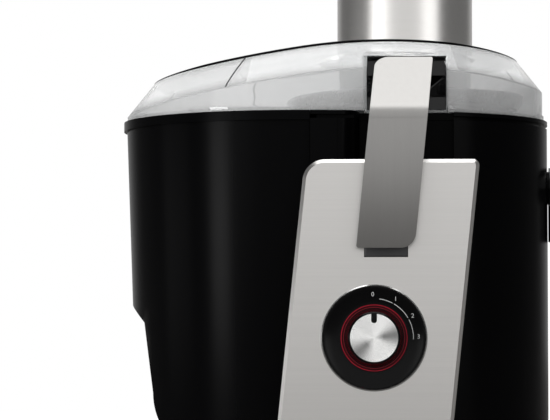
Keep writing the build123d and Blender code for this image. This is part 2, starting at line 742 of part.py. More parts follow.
def drive_coupling():
    """Moulded coupling on the shaft's end, with three drive lugs for the basket."""
    part = rod(COUPLING_R, COUPLING_LOW, COUPLING_TOP) - rod(SHAFT_R, 0, COUPLING_TOP - 2)
    for k in range(3):
        key = box(COUPLING_R - 1, COUPLING_R + 2, -2, 2, COUPLING_LOW + 3, COUPLING_TOP - 4)
        part += Rot(0, 0, 120 * k) * key
    return part


# ---- bowl and basket -------------------------------------------------------------------------------
def juice_bowl():
    """Bowl that hangs in the collar by its flange, with a hub tube and an outlet pipe."""
    inner_r = BOWL_R - THIN
    bowl = housing_plan(0, RIM_LOW, RIM_Z) + housing_plan(FLANGE_STEP, HOUSING_TOP + RUN_GAP, RIM_LOW)
    bowl += box(SPLIT_X, 0, -200, 200, HOUSING_TOP + RUN_GAP, RIM_Z) & housing_plan(0, RIM_LOW, RIM_Z)
    bowl -= both(recess(0, RECESS_FLOOR_Z, 300))
    bowl += rod(BOWL_R, BOWL_FLOOR_Z, RIM_Z)
    bowl += rod_x(PIPE_R + PIPE_WALL, inner_r - 4, PIPE_END_X, 0, SPOUT_Z)
    bowl -= rod(inner_r, BOWL_FLOOR_Z + THIN, 300)
    bowl -= rod_x(PIPE_R, inner_r - 8, PIPE_END_X + 1, 0, SPOUT_Z)
    bowl += rod(HUB_TUBE_OUT, BOWL_FLOOR_Z, HUB_TUBE_TOP)
    return bowl - rod(HUB_TUBE_IN, 0, 300)


def bowl_seal():
    """Rubber ring under the bowl's flange, in the collar's mouth."""
    return ring(COLLAR_R - 0.1, BOWL_R + 0.1, HOUSING_TOP - 5, HOUSING_TOP - 2)


def basket_wall(outward, low, high):
    """Slanted wall of the basket, moved outwards, between two heights."""
    lean = (BASKET_RIM_R - BASKET_BASE_R) / (BASKET_RIM_Z - BASKET_BASE_Z)

    def radius(z):
        return BASKET_BASE_R + outward + lean * (z - BASKET_BASE_Z)

    return turned([(0, low), (radius(low), low), (radius(high), high), (0, high)])


def basket_frame():
    """Moulded floor, hub, slanted ribs and rim of the basket."""
    floor_low = BASKET_BASE_Z - 3
    hub = rod(HUB_R, COUPLING_LOW + 8, BASKET_BASE_Z) - rod(COUPLING_R + 2.3, 0, COUPLING_TOP + 0.3)
    part = rod(BASKET_BASE_R, floor_low, BASKET_BASE_Z) + hub
    part -= rod(COUPLING_R + 2.3, 0, COUPLING_TOP + 0.3)
    cage = basket_wall(RIB_T, floor_low, BASKET_RIM_Z) - basket_wall(0, floor_low - 1, BASKET_RIM_Z + 1)
    ribs = Part() + [Rot(0, 0, 45 * k) * box(30, 90, -2.5, 2.5, floor_low, BASKET_RIM_Z) for k in range(8)]
    part += cage & (ribs + rod(90, BASKET_RIM_Z - 6, BASKET_RIM_Z) + rod(90, floor_low, BASKET_BASE_Z + 3))
    part += ring(BASKET_RIM_R + RIB_T, BASKET_RIM_R - 3, BASKET_RIM_Z, BASKET_RIM_Z + 2)
    return part


def basket_mesh():
    """Fine sieve cone inside the ribs."""
    outside = basket_wall(0, BASKET_BASE_Z, BASKET_RIM_Z)
    return outside - basket_wall(-MESH_T, BASKET_BASE_Z - 1, BASKET_RIM_Z + 1)


def grater_disc():
    """Cutting disc with rings of small teeth."""
    disc = rod(GRATER_R, BASKET_BASE_Z, BASKET_BASE_Z + 1.2)
    top = BASKET_BASE_Z + 1.2
    teeth = []
    for k in range(6):
        for r in (12, 20, 28, 36):
            spot = Rot(0, 0, 60 * k + r) * Pos(r, 0, top + 0.6)
            teeth.append(spot * Cone(1.2, 0.3, 1.8))
    return disc + teeth


# ---- lid, chute and pusher -------------------------------------------------------------------------
def lid_block(inset, drop):
    """Solid dome of the lid, moved inwards and down, with the sloped band as a chamfer of its top edge."""
    rise = math.sqrt(ARCH_R ** 2 - ARCH_HALF ** 2)
    shoulder = LID_TOP - drop - ARCH_R + rise
    end_z = shoulder - (ARCH_FAR - ARCH_HALF) * ARCH_HALF / rise
    crown = ThreePointArc((-ARCH_HALF, shoulder), (0, LID_TOP - drop), (ARCH_HALF, shoulder))
    flanks = Polyline((ARCH_HALF, shoulder), (ARCH_FAR, end_z), (ARCH_FAR, RIM_LOW - THIN),
                      (-ARCH_FAR, RIM_LOW - THIN), (-ARCH_FAR, end_z), (-ARCH_HALF, shoulder))
    body = egg_block(inset, LID_LOW - drop, 300) & front_prism(make_face(crown + flanks), 200, -200)
    edges = [e for e in body.edges() if e.bounding_box().min.Z > LID_LOW + 8]
    seams = [e for e in edges if abs(e.center().Y) < 1 and abs(abs(e.center().X) - ARCH_HALF) < 1]
    return chamfer([e for e in edges if e not in seams], BAND_H, BAND_W)


def alcove(grow):
    """Room for one arm in the lid."""
    half = ALCOVE_HALF + grow
    corner = ALCOVE_CORNER - grow
    top = ALCOVE_CEILING + grow
    mouth = -LID_FRONT_Y
    gap = box(-half, half, -200, -ALCOVE_BACK + grow, 0, top)
    flare = box(-half - corner, half + corner, -200, mouth + corner, 0, top)
    flare -= rod(corner, 0, 300, -half - corner, mouth + corner)
    flare -= rod(corner, 0, 300, half + corner, mouth + corner)
    return gap + flare


def saddle():
    """Sloped catch on an alcove's back wall that the closed arm bears on."""
    drop = (SADDLE_DEPTH + 1) * math.tan(math.radians(SADDLE_SLOPE))
    back = -ALCOVE_BACK + 1
    face = polygon([(back, SADDLE_TOP), (-ALCOVE_BACK - SADDLE_DEPTH, SADDLE_TOP - drop),
                    (-ALCOVE_BACK - SADDLE_DEPTH, SADDLE_TOP - drop - 6), (back, SADDLE_TOP - drop - 8)])
    return side_prism(face, ARM_HEAD_X - SADDLE_HALF, ARM_HEAD_X + SADDLE_HALF)


def lid():
    """Clear lid: domed shell with a lower lip, two arm alcoves, two inner ribs and a socket for the chute."""
    outer = lid_block(LID_INSET, 0) + egg_block(LIP_INSET, LID_LOW, LID_LOW + LIP_H)
    outer -= both(alcove(0))
    room = lid_block(LID_INSET + THIN, THIN) - both(alcove(THIN))
    ribs = box(0, RIB_LENGTH, -RIB_T / 2, RIB_T / 2, LID_LOW + 4, 300)
    ribs = Pos(RIB_X, RIB_Y, 0) * Rot(0, 0, RIB_TURN) * ribs
    shell = outer - (room - both(ribs))
    shell += both(saddle())
    shell -= rod(CHUTE_IN_R + CHUTE_WALL, 0, 400)
    return shell


def feed_chute():
    """Clear tube that feeds the grater, with a collar on the lid."""
    tube = ring(CHUTE_IN_R + CHUTE_WALL, CHUTE_IN_R, CHUTE_LOW, CHUTE_TOP)
    return tube + ring(CHUTE_IN_R + CHUTE_WALL + 2, CHUTE_IN_R, CHUTE_TOP - 4, CHUTE_TOP)


def tube_sleeve():
    """Metal sleeve round the chute above the lid."""
    inner = CHUTE_IN_R + CHUTE_WALL + SLEEVE_GAP
    return ring(inner + SLEEVE_T, inner, LID_TOP + 0.2, CHUTE_TOP - 4)


def pusher_body():
    """Hollow plunger that slides in the chute."""
    outer = CHUTE_IN_R - PUSHER_GAP
    body = rod(outer, PUSHER_LOW, CHUTE_TOP + 1)
    body = fillet(body.edges().sort_by(Axis.Z)[0], 3)
    return body - rod(outer - PUSHER_WALL, PUSHER_LOW + PUSHER_WALL, CHUTE_TOP + 2)


def pusher_cap():
    """Grip of the pusher: a flange over the chute and a waisted grip with a rounded top."""
    low = CHUTE_TOP + 1
    grip = turned([(0, low), (CAP_R, low), (CAP_R, low + 4), (CAP_R - 6, low + 7), (CAP_R - 8, low + 24),
                   (CAP_R - 6, PUSHER_TOP - 5), (CAP_R - 9, PUSHER_TOP), (0, PUSHER_TOP)])
    return grip


# ---- container and spout ---------------------------------------------------------------------------
def container_block(wall):
    """Solid form of the container, moved inwards by a wall."""
    body = extrude(Pos(0, 0, RIM_Z) * egg(BODY_STEP + wall), RIM_Z, dir=(0, 0, -1), taper=DRAFT)
    body &= box(-300, SPLIT_X - RUN_GAP - wall, -200, 200, BOTTOM_Z + wall, 300)
    body -= rod(BULGE_R + RUN_GAP + wall, 0, 300)
    lean = math.tan(math.radians(GRIP_LEAN))
    edge = GRIP_X + wall
    foot_x = edge + GRIP_Z * lean
    low = BOTTOM_Z + wall
    turn = BOTTOM_ROUND - wall
    mid = turn * (1 - math.sqrt(0.5))
    grip = Polyline((edge, GRIP_Z + wall), (edge - 30, GRIP_Z + wall + 33), (edge - 80, GRIP_Z),
                    (edge - 80, -10),
                    (foot_x + turn, -10), (foot_x + turn, low))
    grip += ThreePointArc((foot_x + turn, low), (foot_x + mid, low + mid), (foot_x, low + turn))
    grip += Line((foot_x, low + turn), (edge, GRIP_Z + wall))
    return body - front_prism(make_face(grip), 200, -200)


def pulp_container():
    """Open bin with a rim bead, wrapped round the housing."""
    rim = egg_block(0, RIM_Z - BEAD_H, RIM_Z) & box(-300, SPLIT_X - RUN_GAP, -200, 200, 0, 300)
    rim -= rod(BULGE_R + RUN_GAP, 0, 300)
    return container_block(0) + rim - container_block(THIN)


def juice_spout():
    """Elbow that turns on the outlet pipe, with a nozzle pointing down."""
    socket = rod_x(PIPE_R + PIPE_WALL + FIT + THIN, SPOUT_BACK_X, SPOUT_TIP_X, 0, SPOUT_Z)
    socket = fillet(socket.edges().sort_by(Axis.X)[-1], 4)
    nozzle_x = SPOUT_TIP_X - PIPE_R - PIPE_WALL
    nozzle = rod(PIPE_R + PIPE_WALL - 1, NOZZLE_LOW, SPOUT_Z, nozzle_x)
    part = socket + nozzle
    part -= rod_x(PIPE_R + PIPE_WALL + FIT, SPOUT_BACK_X - 1, PIPE_END_X + 0.5, 0, SPOUT_Z)
    part -= rod_x(PIPE_R, SPOUT_BACK_X, SPOUT_TIP_X - THIN, 0, SPOUT_Z)
    return part - rod(PIPE_R - 1, NOZZLE_LOW - 1, SPOUT_Z, nozzle_x)


def spout_seal():
    """Rubber ring in the housing's slot, round the outlet pipe."""
    return rod_x(SPOUT_SLOT - 0.4, RIGHT_REACH - 6, RIGHT_REACH - 3, 0, SPOUT_Z) - rod_x(
        PIPE_R + PIPE_WALL, 0, 200, 0, SPOUT_Z)


# ---- locking arms ----------------------------------------------------------------------------------
def arm_side(depth_out, depth_in):
    """Side outline of the arm between two depths behind its outer face, drawn in Y and Z."""
    outer = offset_path(depth_out)
    inner = offset_path(depth_in)
    return polygon(outer + inner[::-1])


def offset_path(depth):
    """The arm's foot, bend and top, moved in from the outer face by a depth."""
    lower = math.atan2(ARM_BEND_Y - ARM_FOOT_Y, ARM_BEND_Z - ARM_LOW)
    upper = math.atan2(ARM_TOP_Y - ARM_BEND_Y, ARM_TOP_Z - ARM_BEND_Z)
    half_turn = (upper - lower) / 2
    mid = (upper + lower) / 2
    reach = depth / math.cos(half_turn)
    return [(ARM_FOOT_Y + depth * math.cos(lower), ARM_LOW - depth * math.sin(lower)),
            (ARM_BEND_Y + reach * math.cos(mid), ARM_BEND_Z - reach * math.sin(mid)),
            (ARM_TOP_Y + depth * math.cos(upper), ARM_TOP_Z - depth * math.sin(upper))]


def arm_front(half, low, high, big_r, small_r):
    """Front outline of the arm."""
    return leaning(half, low, high, ARM_MID_X, ARM_BEND_Z, ARM_SLANT, big_r, small_r, 1)


def arm_cover():
    """Metal strip on the arm's outside."""
    side = side_prism(arm_side(0, ARM_T), -60, 60)
    return side & front_prism(arm_front(ARM_HALF, ARM_LOW, ARM_TOP_Z, ARM_BIG_R, ARM_SMALL_R), 0, -200)


def arm_lever():
    """Moulded lever under the strip: pivot barrel, body and the hook that bears on the lid's catch."""
    foot, bend, top = offset_path(ARM_T)
    neck = LEVER_LOW + 4
    outer_low = foot[0] + (bend[0] - foot[0]) * (LEVER_LOW - foot[1]) / (bend[1] - foot[1])
    slope = math.tan(math.radians(SADDLE_SLOPE))
    hook_y = -ALCOVE_BACK - 1.5
    lean = math.radians(SADDLE_SLOPE)
    hook_z = SADDLE_TOP + SEAT_GAP / math.cos(lean) + (hook_y + ALCOVE_BACK - 1) * slope
    toe_y = -ALCOVE_BACK - SADDLE_DEPTH
    toe_z = hook_z - (hook_y - toe_y) * slope
    body = polygon([(outer_low, LEVER_LOW), bend, top, (hook_y, ARM_TOP_Z), (hook_y, hook_z), (toe_y, toe_z),
                    (LEVER_BACK_Y + 6, ARM_BEND_Z - 6), (LEVER_BACK_Y, RECESS_FLOOR_Z + 6), (LEVER_BACK_Y,
                                                                                             neck),
                    (LEVER_BACK_Y, LEVER_LOW)])
    part = side_prism(body, -60, 60)
    part &= front_prism(arm_front(ARM_HALF - 1, LEVER_LOW, ARM_TOP_Z, ARM_BIG_R - 1, 1.0), 0, -200)
    lug = side_prism(polygon([(ARM_PIVOT_Y - KNUCKLE_R, ARM_PIVOT_Z), (ARM_PIVOT_Y + KNUCKLE_R, ARM_PIVOT_Z),
                              (ARM_PIVOT_Y + KNUCKLE_R, LEVER_LOW + 2), (ARM_PIVOT_Y - KNUCKLE_R,
                                                                         LEVER_LOW + 2)]),
                     ARM_X - LUG_HALF, ARM_X + LUG_HALF)
    part += lug + rod_x(KNUCKLE_R, ARM_X - LUG_HALF, ARM_X + LUG_HALF, ARM_PIVOT_Y, ARM_PIVOT_Z)
    return part - rod_x(ARM_PIN_R + FIT, -60, 60, ARM_PIVOT_Y, ARM_PIVOT_Z)


def arm_bracket():
    """Foot plate on the housing with two ears for the pin."""
    along = (ARM_X - BRACKET_HALF, ARM_X + BRACKET_HALF)
    part = box(*along, BRACKET_FACE_Y, BLOCK_FACE_Y, BRACKET_LOW, BRACKET_HIGH)
    for side in (-1, 1):
        x0, x1 = sorted((ARM_X + side * (LUG_HALF + RUN_GAP), ARM_X + side * BRACKET_HALF))
        part += box(x0, x1, ARM_PIVOT_Y, BRACKET_FACE_Y, ARM_PIVOT_Z - KNUCKLE_R, ARM_PIVOT_Z + KNUCKLE_R)
        part += rod_x(KNUCKLE_R, x0, x1, ARM_PIVOT_Y, ARM_PIVOT_Z)
    return part - rod_x(ARM_PIN_R, -60, 60, ARM_PIVOT_Y, ARM_PIVOT_Z)


def arm_pin():
    """Hinge pin, fixed in the bracket's ears."""
    return rod_x(ARM_PIN_R, ARM_X - BRACKET_HALF, ARM_X + BRACKET_HALF, ARM_PIVOT_Y, ARM_PIVOT_Z)


# ---- write every sub-part ---------------------------------------------------------------------------
NODES = {
    "base_housing": base_housing, "base_plate": base_plate, "rubber_feet": rubber_feet,
    "base_screws": base_screws,
    "front_panel": front_panel, "dial_bezel": dial_bezel, "dial_trim_ring": dial_trim_ring,
    "dial_light_ring": dial_light_ring, "knob_body": knob_body, "knob_cap": knob_cap,
    "switch_spindle": switch_spindle, "rotary_switch": rotary_switch, "control_board": control_board,
    "heat_sink": heat_sink, "suppression_capacitor": suppression_capacitor, "thermal_cutout": thermal_cutout,
    "cord_gland": cord_gland, "interlock_switch": interlock_switch, "interlock_plunger": interlock_plunger,
    "motor_stator": motor_stator, "motor_windings": motor_windings,
    "motor_upper_bracket": motor_upper_bracket,
    "motor_lower_bracket": motor_lower_bracket, "brush_holders": brush_holders,
    "carbon_brushes": carbon_brushes,
    "motor_screws": motor_screws, "motor_mount_bushes": motor_mount_bushes, "mount_screws": mount_screws,
    "armature_core": armature_core, "armature_windings": armature_windings, "commutator": commutator,
    "cooling_fan": cooling_fan, "motor_shaft": motor_shaft, "shaft_seal": shaft_seal,
    "drive_coupling": drive_coupling, "juice_bowl": juice_bowl, "bowl_seal": bowl_seal,
    "basket_frame": basket_frame, "basket_mesh": basket_mesh, "grater_disc": grater_disc, "lid": lid,
    "feed_chute": feed_chute, "tube_sleeve": tube_sleeve, "pusher_body": pusher_body,
    "pusher_cap": pusher_cap,
    "pulp_container": pulp_container, "juice_spout": juice_spout, "spout_seal": spout_seal,
}
ARM_NODES = {"arm_cover": arm_cover, "arm_lever": arm_lever, "arm_bracket": arm_bracket, "arm_pin": arm_pin}

for name, make in NODES.items():
    save(name, make())
for name, height in (("upper_bearing", UPPER_BEARING_Z), ("lower_bearing", LOWER_BEARING_Z)):
    save(name, bearing(height))
for name, make in ARM_NODES.items():
    front = make()
    save(f"front_{name}", front)
    save(f"rear_{name}", mirror(front, Plane.XZ))
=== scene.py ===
"""Looks of a centrifugal juicer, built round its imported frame. Every length is in metres."""

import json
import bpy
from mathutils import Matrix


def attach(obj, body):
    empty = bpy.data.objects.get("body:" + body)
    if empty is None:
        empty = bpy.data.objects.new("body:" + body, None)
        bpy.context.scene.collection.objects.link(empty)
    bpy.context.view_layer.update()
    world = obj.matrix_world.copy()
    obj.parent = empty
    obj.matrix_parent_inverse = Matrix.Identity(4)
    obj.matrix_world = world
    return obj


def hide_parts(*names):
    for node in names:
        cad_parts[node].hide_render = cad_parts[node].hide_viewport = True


bl_info = {
    "name": "Centrifugal Juicer",
    "version": (1, 0, 0),
    "blender": (4, 5, 0),
    "location": "View3D > Sidebar > Juicer",
    "description": "Builds the juicer's lid, shells, metal trim, dial and studio round its packed frame",
    "category": "Object",
}

from math import pi, radians, sqrt, tan

import bmesh
import bpy
import numpy as np
from bpy.props import FloatProperty, FloatVectorProperty, IntProperty, PointerProperty
from bpy.types import Operator, Panel, PropertyGroup
from mathutils import Vector

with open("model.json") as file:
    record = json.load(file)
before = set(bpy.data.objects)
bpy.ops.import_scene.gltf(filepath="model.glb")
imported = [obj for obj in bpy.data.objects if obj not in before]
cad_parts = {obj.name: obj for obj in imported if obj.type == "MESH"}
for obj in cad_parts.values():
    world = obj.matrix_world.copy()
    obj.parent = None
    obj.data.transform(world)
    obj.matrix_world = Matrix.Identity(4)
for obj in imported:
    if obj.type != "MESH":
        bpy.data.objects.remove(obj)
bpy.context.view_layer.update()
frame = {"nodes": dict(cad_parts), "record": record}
NODES = frame["nodes"]
RECORD = frame["record"]
BODY_OF = {node: body for body, nodes in RECORD["behaviour"]["bodies"].items() for node in nodes}
SLOT_OF = {part["node"]: part["material_slot"] for part in RECORD["subparts"]}
MM_PER_METRE = 1000


# ---- settings --------------------------------------------------------------------------------------
class JuicerColours(PropertyGroup):
    """Colours that the finishes start from."""
    black: FloatVectorProperty(name="Moulding black", description="Colour of the glossy mouldings",
                               subtype="COLOR", default=(0.0008, 0.0008, 0.0009), min=0, max=1)
    steel: FloatVectorProperty(name="Steel", description="Colour of the brushed metal",
                               subtype="COLOR", default=(0.77, 0.755, 0.735), min=0, max=1)
    clear: FloatVectorProperty(name="Clear plastic", description="Tint of the lid and the chute",
                               subtype="COLOR", default=(0.995, 0.998, 0.998), min=0, max=1)
    light_ring: FloatVectorProperty(name="Light ring", description="Colour of the ring round the knob",
                                    subtype="COLOR", default=(0.26, 0.006, 0.018), min=0, max=1)
    backdrop: FloatVectorProperty(name="Backdrop", description="Colour of the floor and the background",
                                  subtype="COLOR", default=(1.0, 1.0, 1.0), min=0, max=1)


class JuicerSizes(PropertyGroup):
    """Sizes of the pieces that are made here."""
    segments: IntProperty(name="Segments", description="Steps round a turned piece",
                          default=128, min=24, max=512)
    mark_height: FloatProperty(name="Dial numbers", description="Height of a number", unit="LENGTH",
                               default=0.0028, min=0.001, max=0.01)
    arc_radius: FloatProperty(name="Dial arc", description="Radius of the speed arcs", unit="LENGTH",
                              default=0.0246, min=0.02, max=0.032)


# ---- surfaces --------------------------------------------------------------------------------------
def smooth(mesh, sharp):
    """Shades a mesh smooth except across edges sharper than the given angle."""
    mesh.polygons.foreach_set("use_smooth", np.ones(len(mesh.polygons), bool))
    mesh.set_sharp_from_angle(angle=radians(sharp))


def new_mesh(name, points, faces, sharp=35):
    """Smooth-shaded mesh from points and faces."""
    mesh = bpy.data.meshes.new(name)
    mesh.from_pydata(np.reshape(points, (-1, 3)).tolist(), [], [tuple(map(int, f)) for f in faces])
    smooth(mesh, sharp)
    mesh.update()
    return mesh


def grid_faces(rows, columns, close_rows=False, close_columns=False):
    """Quads of a grid, where point (i, j) is number i * columns + j and closed sides wrap round."""
    i, j = np.meshgrid(np.arange(rows - (not close_rows)), np.arange(columns - (not close_columns)),
                       indexing="ij")
    a = i * columns + j
    b = i * columns + (j + 1) % columns
    c = (i + 1) % rows * columns + (j + 1) % columns
    d = (i + 1) % rows * columns + j
    return np.stack([a, b, c, d], axis=-1).reshape(-1, 4)


def add_piece(name, mesh, body, material, stands_for=()):
    """Links a piece with its finish and lets it ride on its body, in place of the nodes it stands for."""
    piece = bpy.data.objects.new(name, mesh)
    bpy.context.scene.collection.objects.link(piece)
    mesh.materials.clear()
    mesh.materials.append(material)
    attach(piece, body)
    if stands_for:
        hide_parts(*stands_for)
    return piece


def turned(profile, centre, steps):
    """Closed profile of (radius, distance forward) turned about an axis along -Y.

    Point (i, j) is centre + (r_i cos a_j, -d_i, r_i sin a_j), with a_j = 2 pi j / steps.
    """
    profile = np.asarray(profile, float)
    angle = np.arange(steps) * 2 * pi / steps
    across = profile[:, :1] * np.cos(angle)
    up = profile[:, :1] * np.sin(angle)
    forward = np.repeat(profile[:, 1:], steps, axis=1)
    points = np.stack((across, -forward, up), axis=-1) + np.asarray(centre)
    return points, grid_faces(len(profile), steps, close_rows=True, close_columns=True)


def joined(mesh, sharp):
    """Merges a mesh's doubles, drops what has no area and shades it smooth except across sharp edges."""
    shape = bmesh.new()
    shape.from_mesh(mesh)
    bmesh.ops.remove_doubles(shape, verts=shape.verts, dist=2e-6)
    bmesh.ops.dissolve_degenerate(shape, edges=shape.edges, dist=1e-6)
    shape.to_mesh(mesh)
    shape.free()
    smooth(mesh, sharp)


def soften(piece, width, sharp=40):
    """Rounds a piece's edges where its faces meet at more than the sharp angle."""
    bevel = piece.modifiers.new("Edge", "BEVEL")
    bevel.width = width
    bevel.segments = 2
    bevel.limit_method = "ANGLE"
    bevel.angle_limit = radians(sharp)


def weld(piece):
    """Joins the points that the rounding of a piece's edges left in one place."""
    piece.modifiers.new("Join", "WELD").merge_threshold = 0.00002


def stand_in(node, name, mesh, material):
    """Piece that takes a CAD node's place and body."""
    return add_piece(name, mesh, BODY_OF[node], material, (node,))


def refined(node, material, edge=0.0, sharp=30):
    """A CAD node's own shape with joined points, smooth shading and, if an edge is given, softened edges."""
    mesh = NODES[node].data.copy()
    for layer in ("custom_normal", "sharp_edge", "sharp_face"):
        if layer in mesh.attributes:
            mesh.attributes.remove(mesh.attributes[layer])
    joined(mesh, sharp)
    piece = stand_in(node, f"{node}_finished", mesh, material)
    if edge:
        soften(piece, edge, sharp)


EGG_LEFT = (-0.072, 0.1164)
EGG_LONG = (0.1436, 0.26)
EGG_RIGHT = (-0.00763, 0.10263)
EGG_TURN = np.arctan2(0.1436, 0.06437)
LID_BASE = 0.2198
LID_CROWN = 0.2664
LID_INSET = 0.0033
LIP_INSET = 0.0023
LIP_HEIGHT = 0.0035
LID_WALL = 0.0023
LID_WALL_ROWS = 6
LID_COLUMNS = (40, 24, 78)      # half way round: right of the alcove, in it, left of it
NOTCH_SHARES = (0.25, 0.7)      # how far up the band an alcove may reach
CROWN_ARC = 0.45
CROWN_HALF = 0.07
BAND_HEIGHT = 0.0185
BAND_WIDTH = 0.017
ALCOVE_HALF = 0.026
ALCOVE_BACK = 0.088
ALCOVE_CEILING = 0.2554
CHUTE_HOLE = 0.0443


def egg(turn, inset):
    """Outline of the lid, moved inwards: centre(turn) + (radius(turn) - inset) (cos, sin) of turn.

    The outline is four arcs that meet in tangents: a large end, two long sides and a small end. So turn is
    both the direction of the outward normal and what picks the arc.
    """
    way = (turn + pi) % (2 * pi) - pi
    right = np.abs(way) < EGG_TURN
    left = np.abs(way) > pi / 2
    centre_x = np.where(right, EGG_RIGHT[0], EGG_LEFT[0])
    centre_y = np.where(right | left, 0.0, -np.sign(way) * EGG_LONG[0])
    radius = np.where(right, EGG_RIGHT[1], np.where(left, EGG_LEFT[1], EGG_LONG[1]))
    return centre_x + (radius - inset) * np.cos(way), centre_y + (radius - inset) * np.sin(way)


def crown(x):
    """Height of the lid's top: a flat arc in the middle, tangent to straight flanks."""
    near = np.clip(np.abs(x), 0, CROWN_HALF)
    slope = CROWN_HALF / sqrt(CROWN_ARC ** 2 - CROWN_HALF ** 2)
    return LID_CROWN - CROWN_ARC + np.sqrt(CROWN_ARC ** 2 - near ** 2) - (np.abs(x) - near) * slope


def lid_skin():
    """Outer skin of the lid as one grid, with the share of each point that counts as its top, where the
    clear finish paints light from above.

    Columns go round the outline, and rows from the lip to the chute's hole.

    A column's rows are the lip, the upright wall to the ridge crown(x) - band height, the sloped band up to
    the crown's edge and the crown itself, which runs level in y and falls along x, up to the hole's circle.
    Inside an alcove the rows below its ceiling lie on its back wall, so doubled columns make its side walls.
    """
    half = np.linspace(0, pi, 121)
    rear = egg(half, LID_INSET)[0]
    left_side, right_side = (np.interp(-edge, -rear, half) for edge in (-ALCOVE_HALF, ALCOVE_HALF))
    stops = (0, right_side, left_side, pi)
    turn = np.concatenate([np.linspace(*ends) for ends in zip(stops, stops[1:], LID_COLUMNS)])
    inside = np.repeat((False, True, False), LID_COLUMNS)
    turn = np.concatenate([turn, 2 * pi - turn[-2:0:-1]])
    inside = np.concatenate([inside, inside[-2:0:-1]])
    wall_x, wall_y = egg(turn, LID_INSET)
    side = np.sign(wall_y)
    ridge = crown(wall_x) - BAND_HEIGHT
    notch = np.clip((ALCOVE_CEILING - ridge) / BAND_HEIGHT, *NOTCH_SHARES)
    edge_x, edge_y = egg(turn, LID_INSET + BAND_WIDTH)
    rows = []

    def add(x, y, z):
        """One row of points."""
        rows.append(np.stack(np.broadcast_arrays(x, y, z), axis=-1))

    def outside(inset, z):
        """Row on the outline, which follows the back wall where it crosses an alcove."""
        x, y = egg(turn, inset)
        add(np.where(inside, wall_x, x), np.where(inside, side * ALCOVE_BACK, y), z)

    outside(LIP_INSET, LID_BASE)
    outside(LIP_INSET, LID_BASE + LIP_HEIGHT)
    for share in (0, 0.33, 0.67, 1):
        outside(LID_INSET, LID_BASE + LIP_HEIGHT + share * (ridge - LID_BASE - LIP_HEIGHT))
    for share in (0.5, 1):
        outside(LID_INSET + share * notch * BAND_WIDTH, ridge + share * notch * (crown(edge_x) - ridge))
    for share in (0, 0.34, 0.67, 1):
        rise = notch + share * (1 - notch)
        x, y = egg(turn, LID_INSET + rise * BAND_WIDTH)
        add(x, y, ridge + rise * (crown(edge_x) - ridge))
    away = np.hypot(edge_x, edge_y)
    hole_x, hole_y = edge_x / away * CHUTE_HOLE, edge_y / away * CHUTE_HOLE
    for share in np.linspace(0, 1, 9)[1:]:
        x = edge_x + share * (hole_x - edge_x)
        add(x, edge_y + share * (hole_y - edge_y), crown(x))
    points = np.stack(rows)
    # Points from the band up count as the top, which the clear finish paints paler, as if lit from above.
    lit_top = np.repeat(np.arange(len(rows)) >= LID_WALL_ROWS, len(turn)).astype(float)
    return points.reshape(-1, 3), grid_faces(len(rows), len(turn), close_columns=True), lit_top


CATCH_HALF = 0.0252
CATCH_FRONT = 0.0960            # what stands out further than this is the catch or the lip over it
CATCH_TOP = 0.24
HOOK_HALF = 0.0140
CATCH_SECTION = ((0.0880, 0.2215), (0.0886, 0.2215), (0.0886, 0.2300), (0.0968, 0.2300),
                 (0.0968, 0.2338), (0.0886, 0.2436), (0.0886, 0.2540), (0.1000, 0.2540),
                 (0.1000, 0.2550), (0.0880, 0.2550))


def catch(side):
    """Dark liner of an alcove: one section of (distance from the drive axis, height) carried along x.

    The section has a back plate, the sloped catch that the arm's hook bears on and a lip under the ceiling.
    The catch is narrower than the plate: its points are drawn in to the hook's half width.
    """
    section = np.array(CATCH_SECTION)
    is_catch = (section[:, 0] > CATCH_FRONT) & (section[:, 1] < CATCH_TOP)
    wide = np.where(is_catch, HOOK_HALF, CATCH_HALF)
    across = np.array((-1.0, 1.0))
    x = wide[None, :] * across[:, None]
    y = np.repeat(side * section[None, :, 0], 2, axis=0)
    z = np.repeat(section[None, :, 1], 2, axis=0)
    count = len(section)
    faces = [tuple(f) for f in grid_faces(2, count, close_columns=True)]
    faces += [tuple(range(count))[::-1], tuple(range(count, 2 * count))]
    if side < 0:
        faces = [f[::-1] for f in faces]
    return np.stack([x, y, z], axis=-1).reshape(-1, 3), faces


def bar_faces(steps):
    """Faces of a bar of four-sided sections, closed at both ends."""
    last = (steps - 1) * 4
    ends = np.array([(0, 3, 2, 1), (last, last + 1, last + 2, last + 3)])
    return np.concatenate([grid_faces(steps, 4, close_columns=True), ends])


RIB_TURNS = (1.9602, 1.8915)    # where the seam leaves the ridge and meets the crown's edge
RIB_HALF = 0.00035
RIB_DEEP = 0.0004


def rib(side):
    """Thin seam up the lid's sloped band, from the ridge to the crown's edge.

    At the share s of the band's width its place on the outline is turn(s) = first + (last - first) s^1.5, so
    it leaves the ridge steeply and leans over as it climbs.
    """
    share = np.linspace(0, 1, 20)
    turn = side * (RIB_TURNS[0] + (RIB_TURNS[1] - RIB_TURNS[0]) * share ** 1.5)
    x, y = egg(turn, LID_INSET + share * BAND_WIDTH)
    ridge = crown(egg(turn, LID_INSET)[0]) - BAND_HEIGHT
    top = ridge + share * (crown(egg(turn, LID_INSET + BAND_WIDTH)[0]) - ridge)
    line = np.stack([x, y, top], axis=1)
    across = np.stack([-np.sin(turn), np.cos(turn), 0 * turn], axis=1) * RIB_HALF
    up = np.array((0, 0, RIB_DEEP))
    corners = [line - across - up, line - across + up, line + across + up, line + across - up]
    faces = bar_faces(len(share))
    if side < 0:
        faces = [f[::-1] for f in faces]
    return np.stack(corners, axis=1).reshape(-1, 3), faces


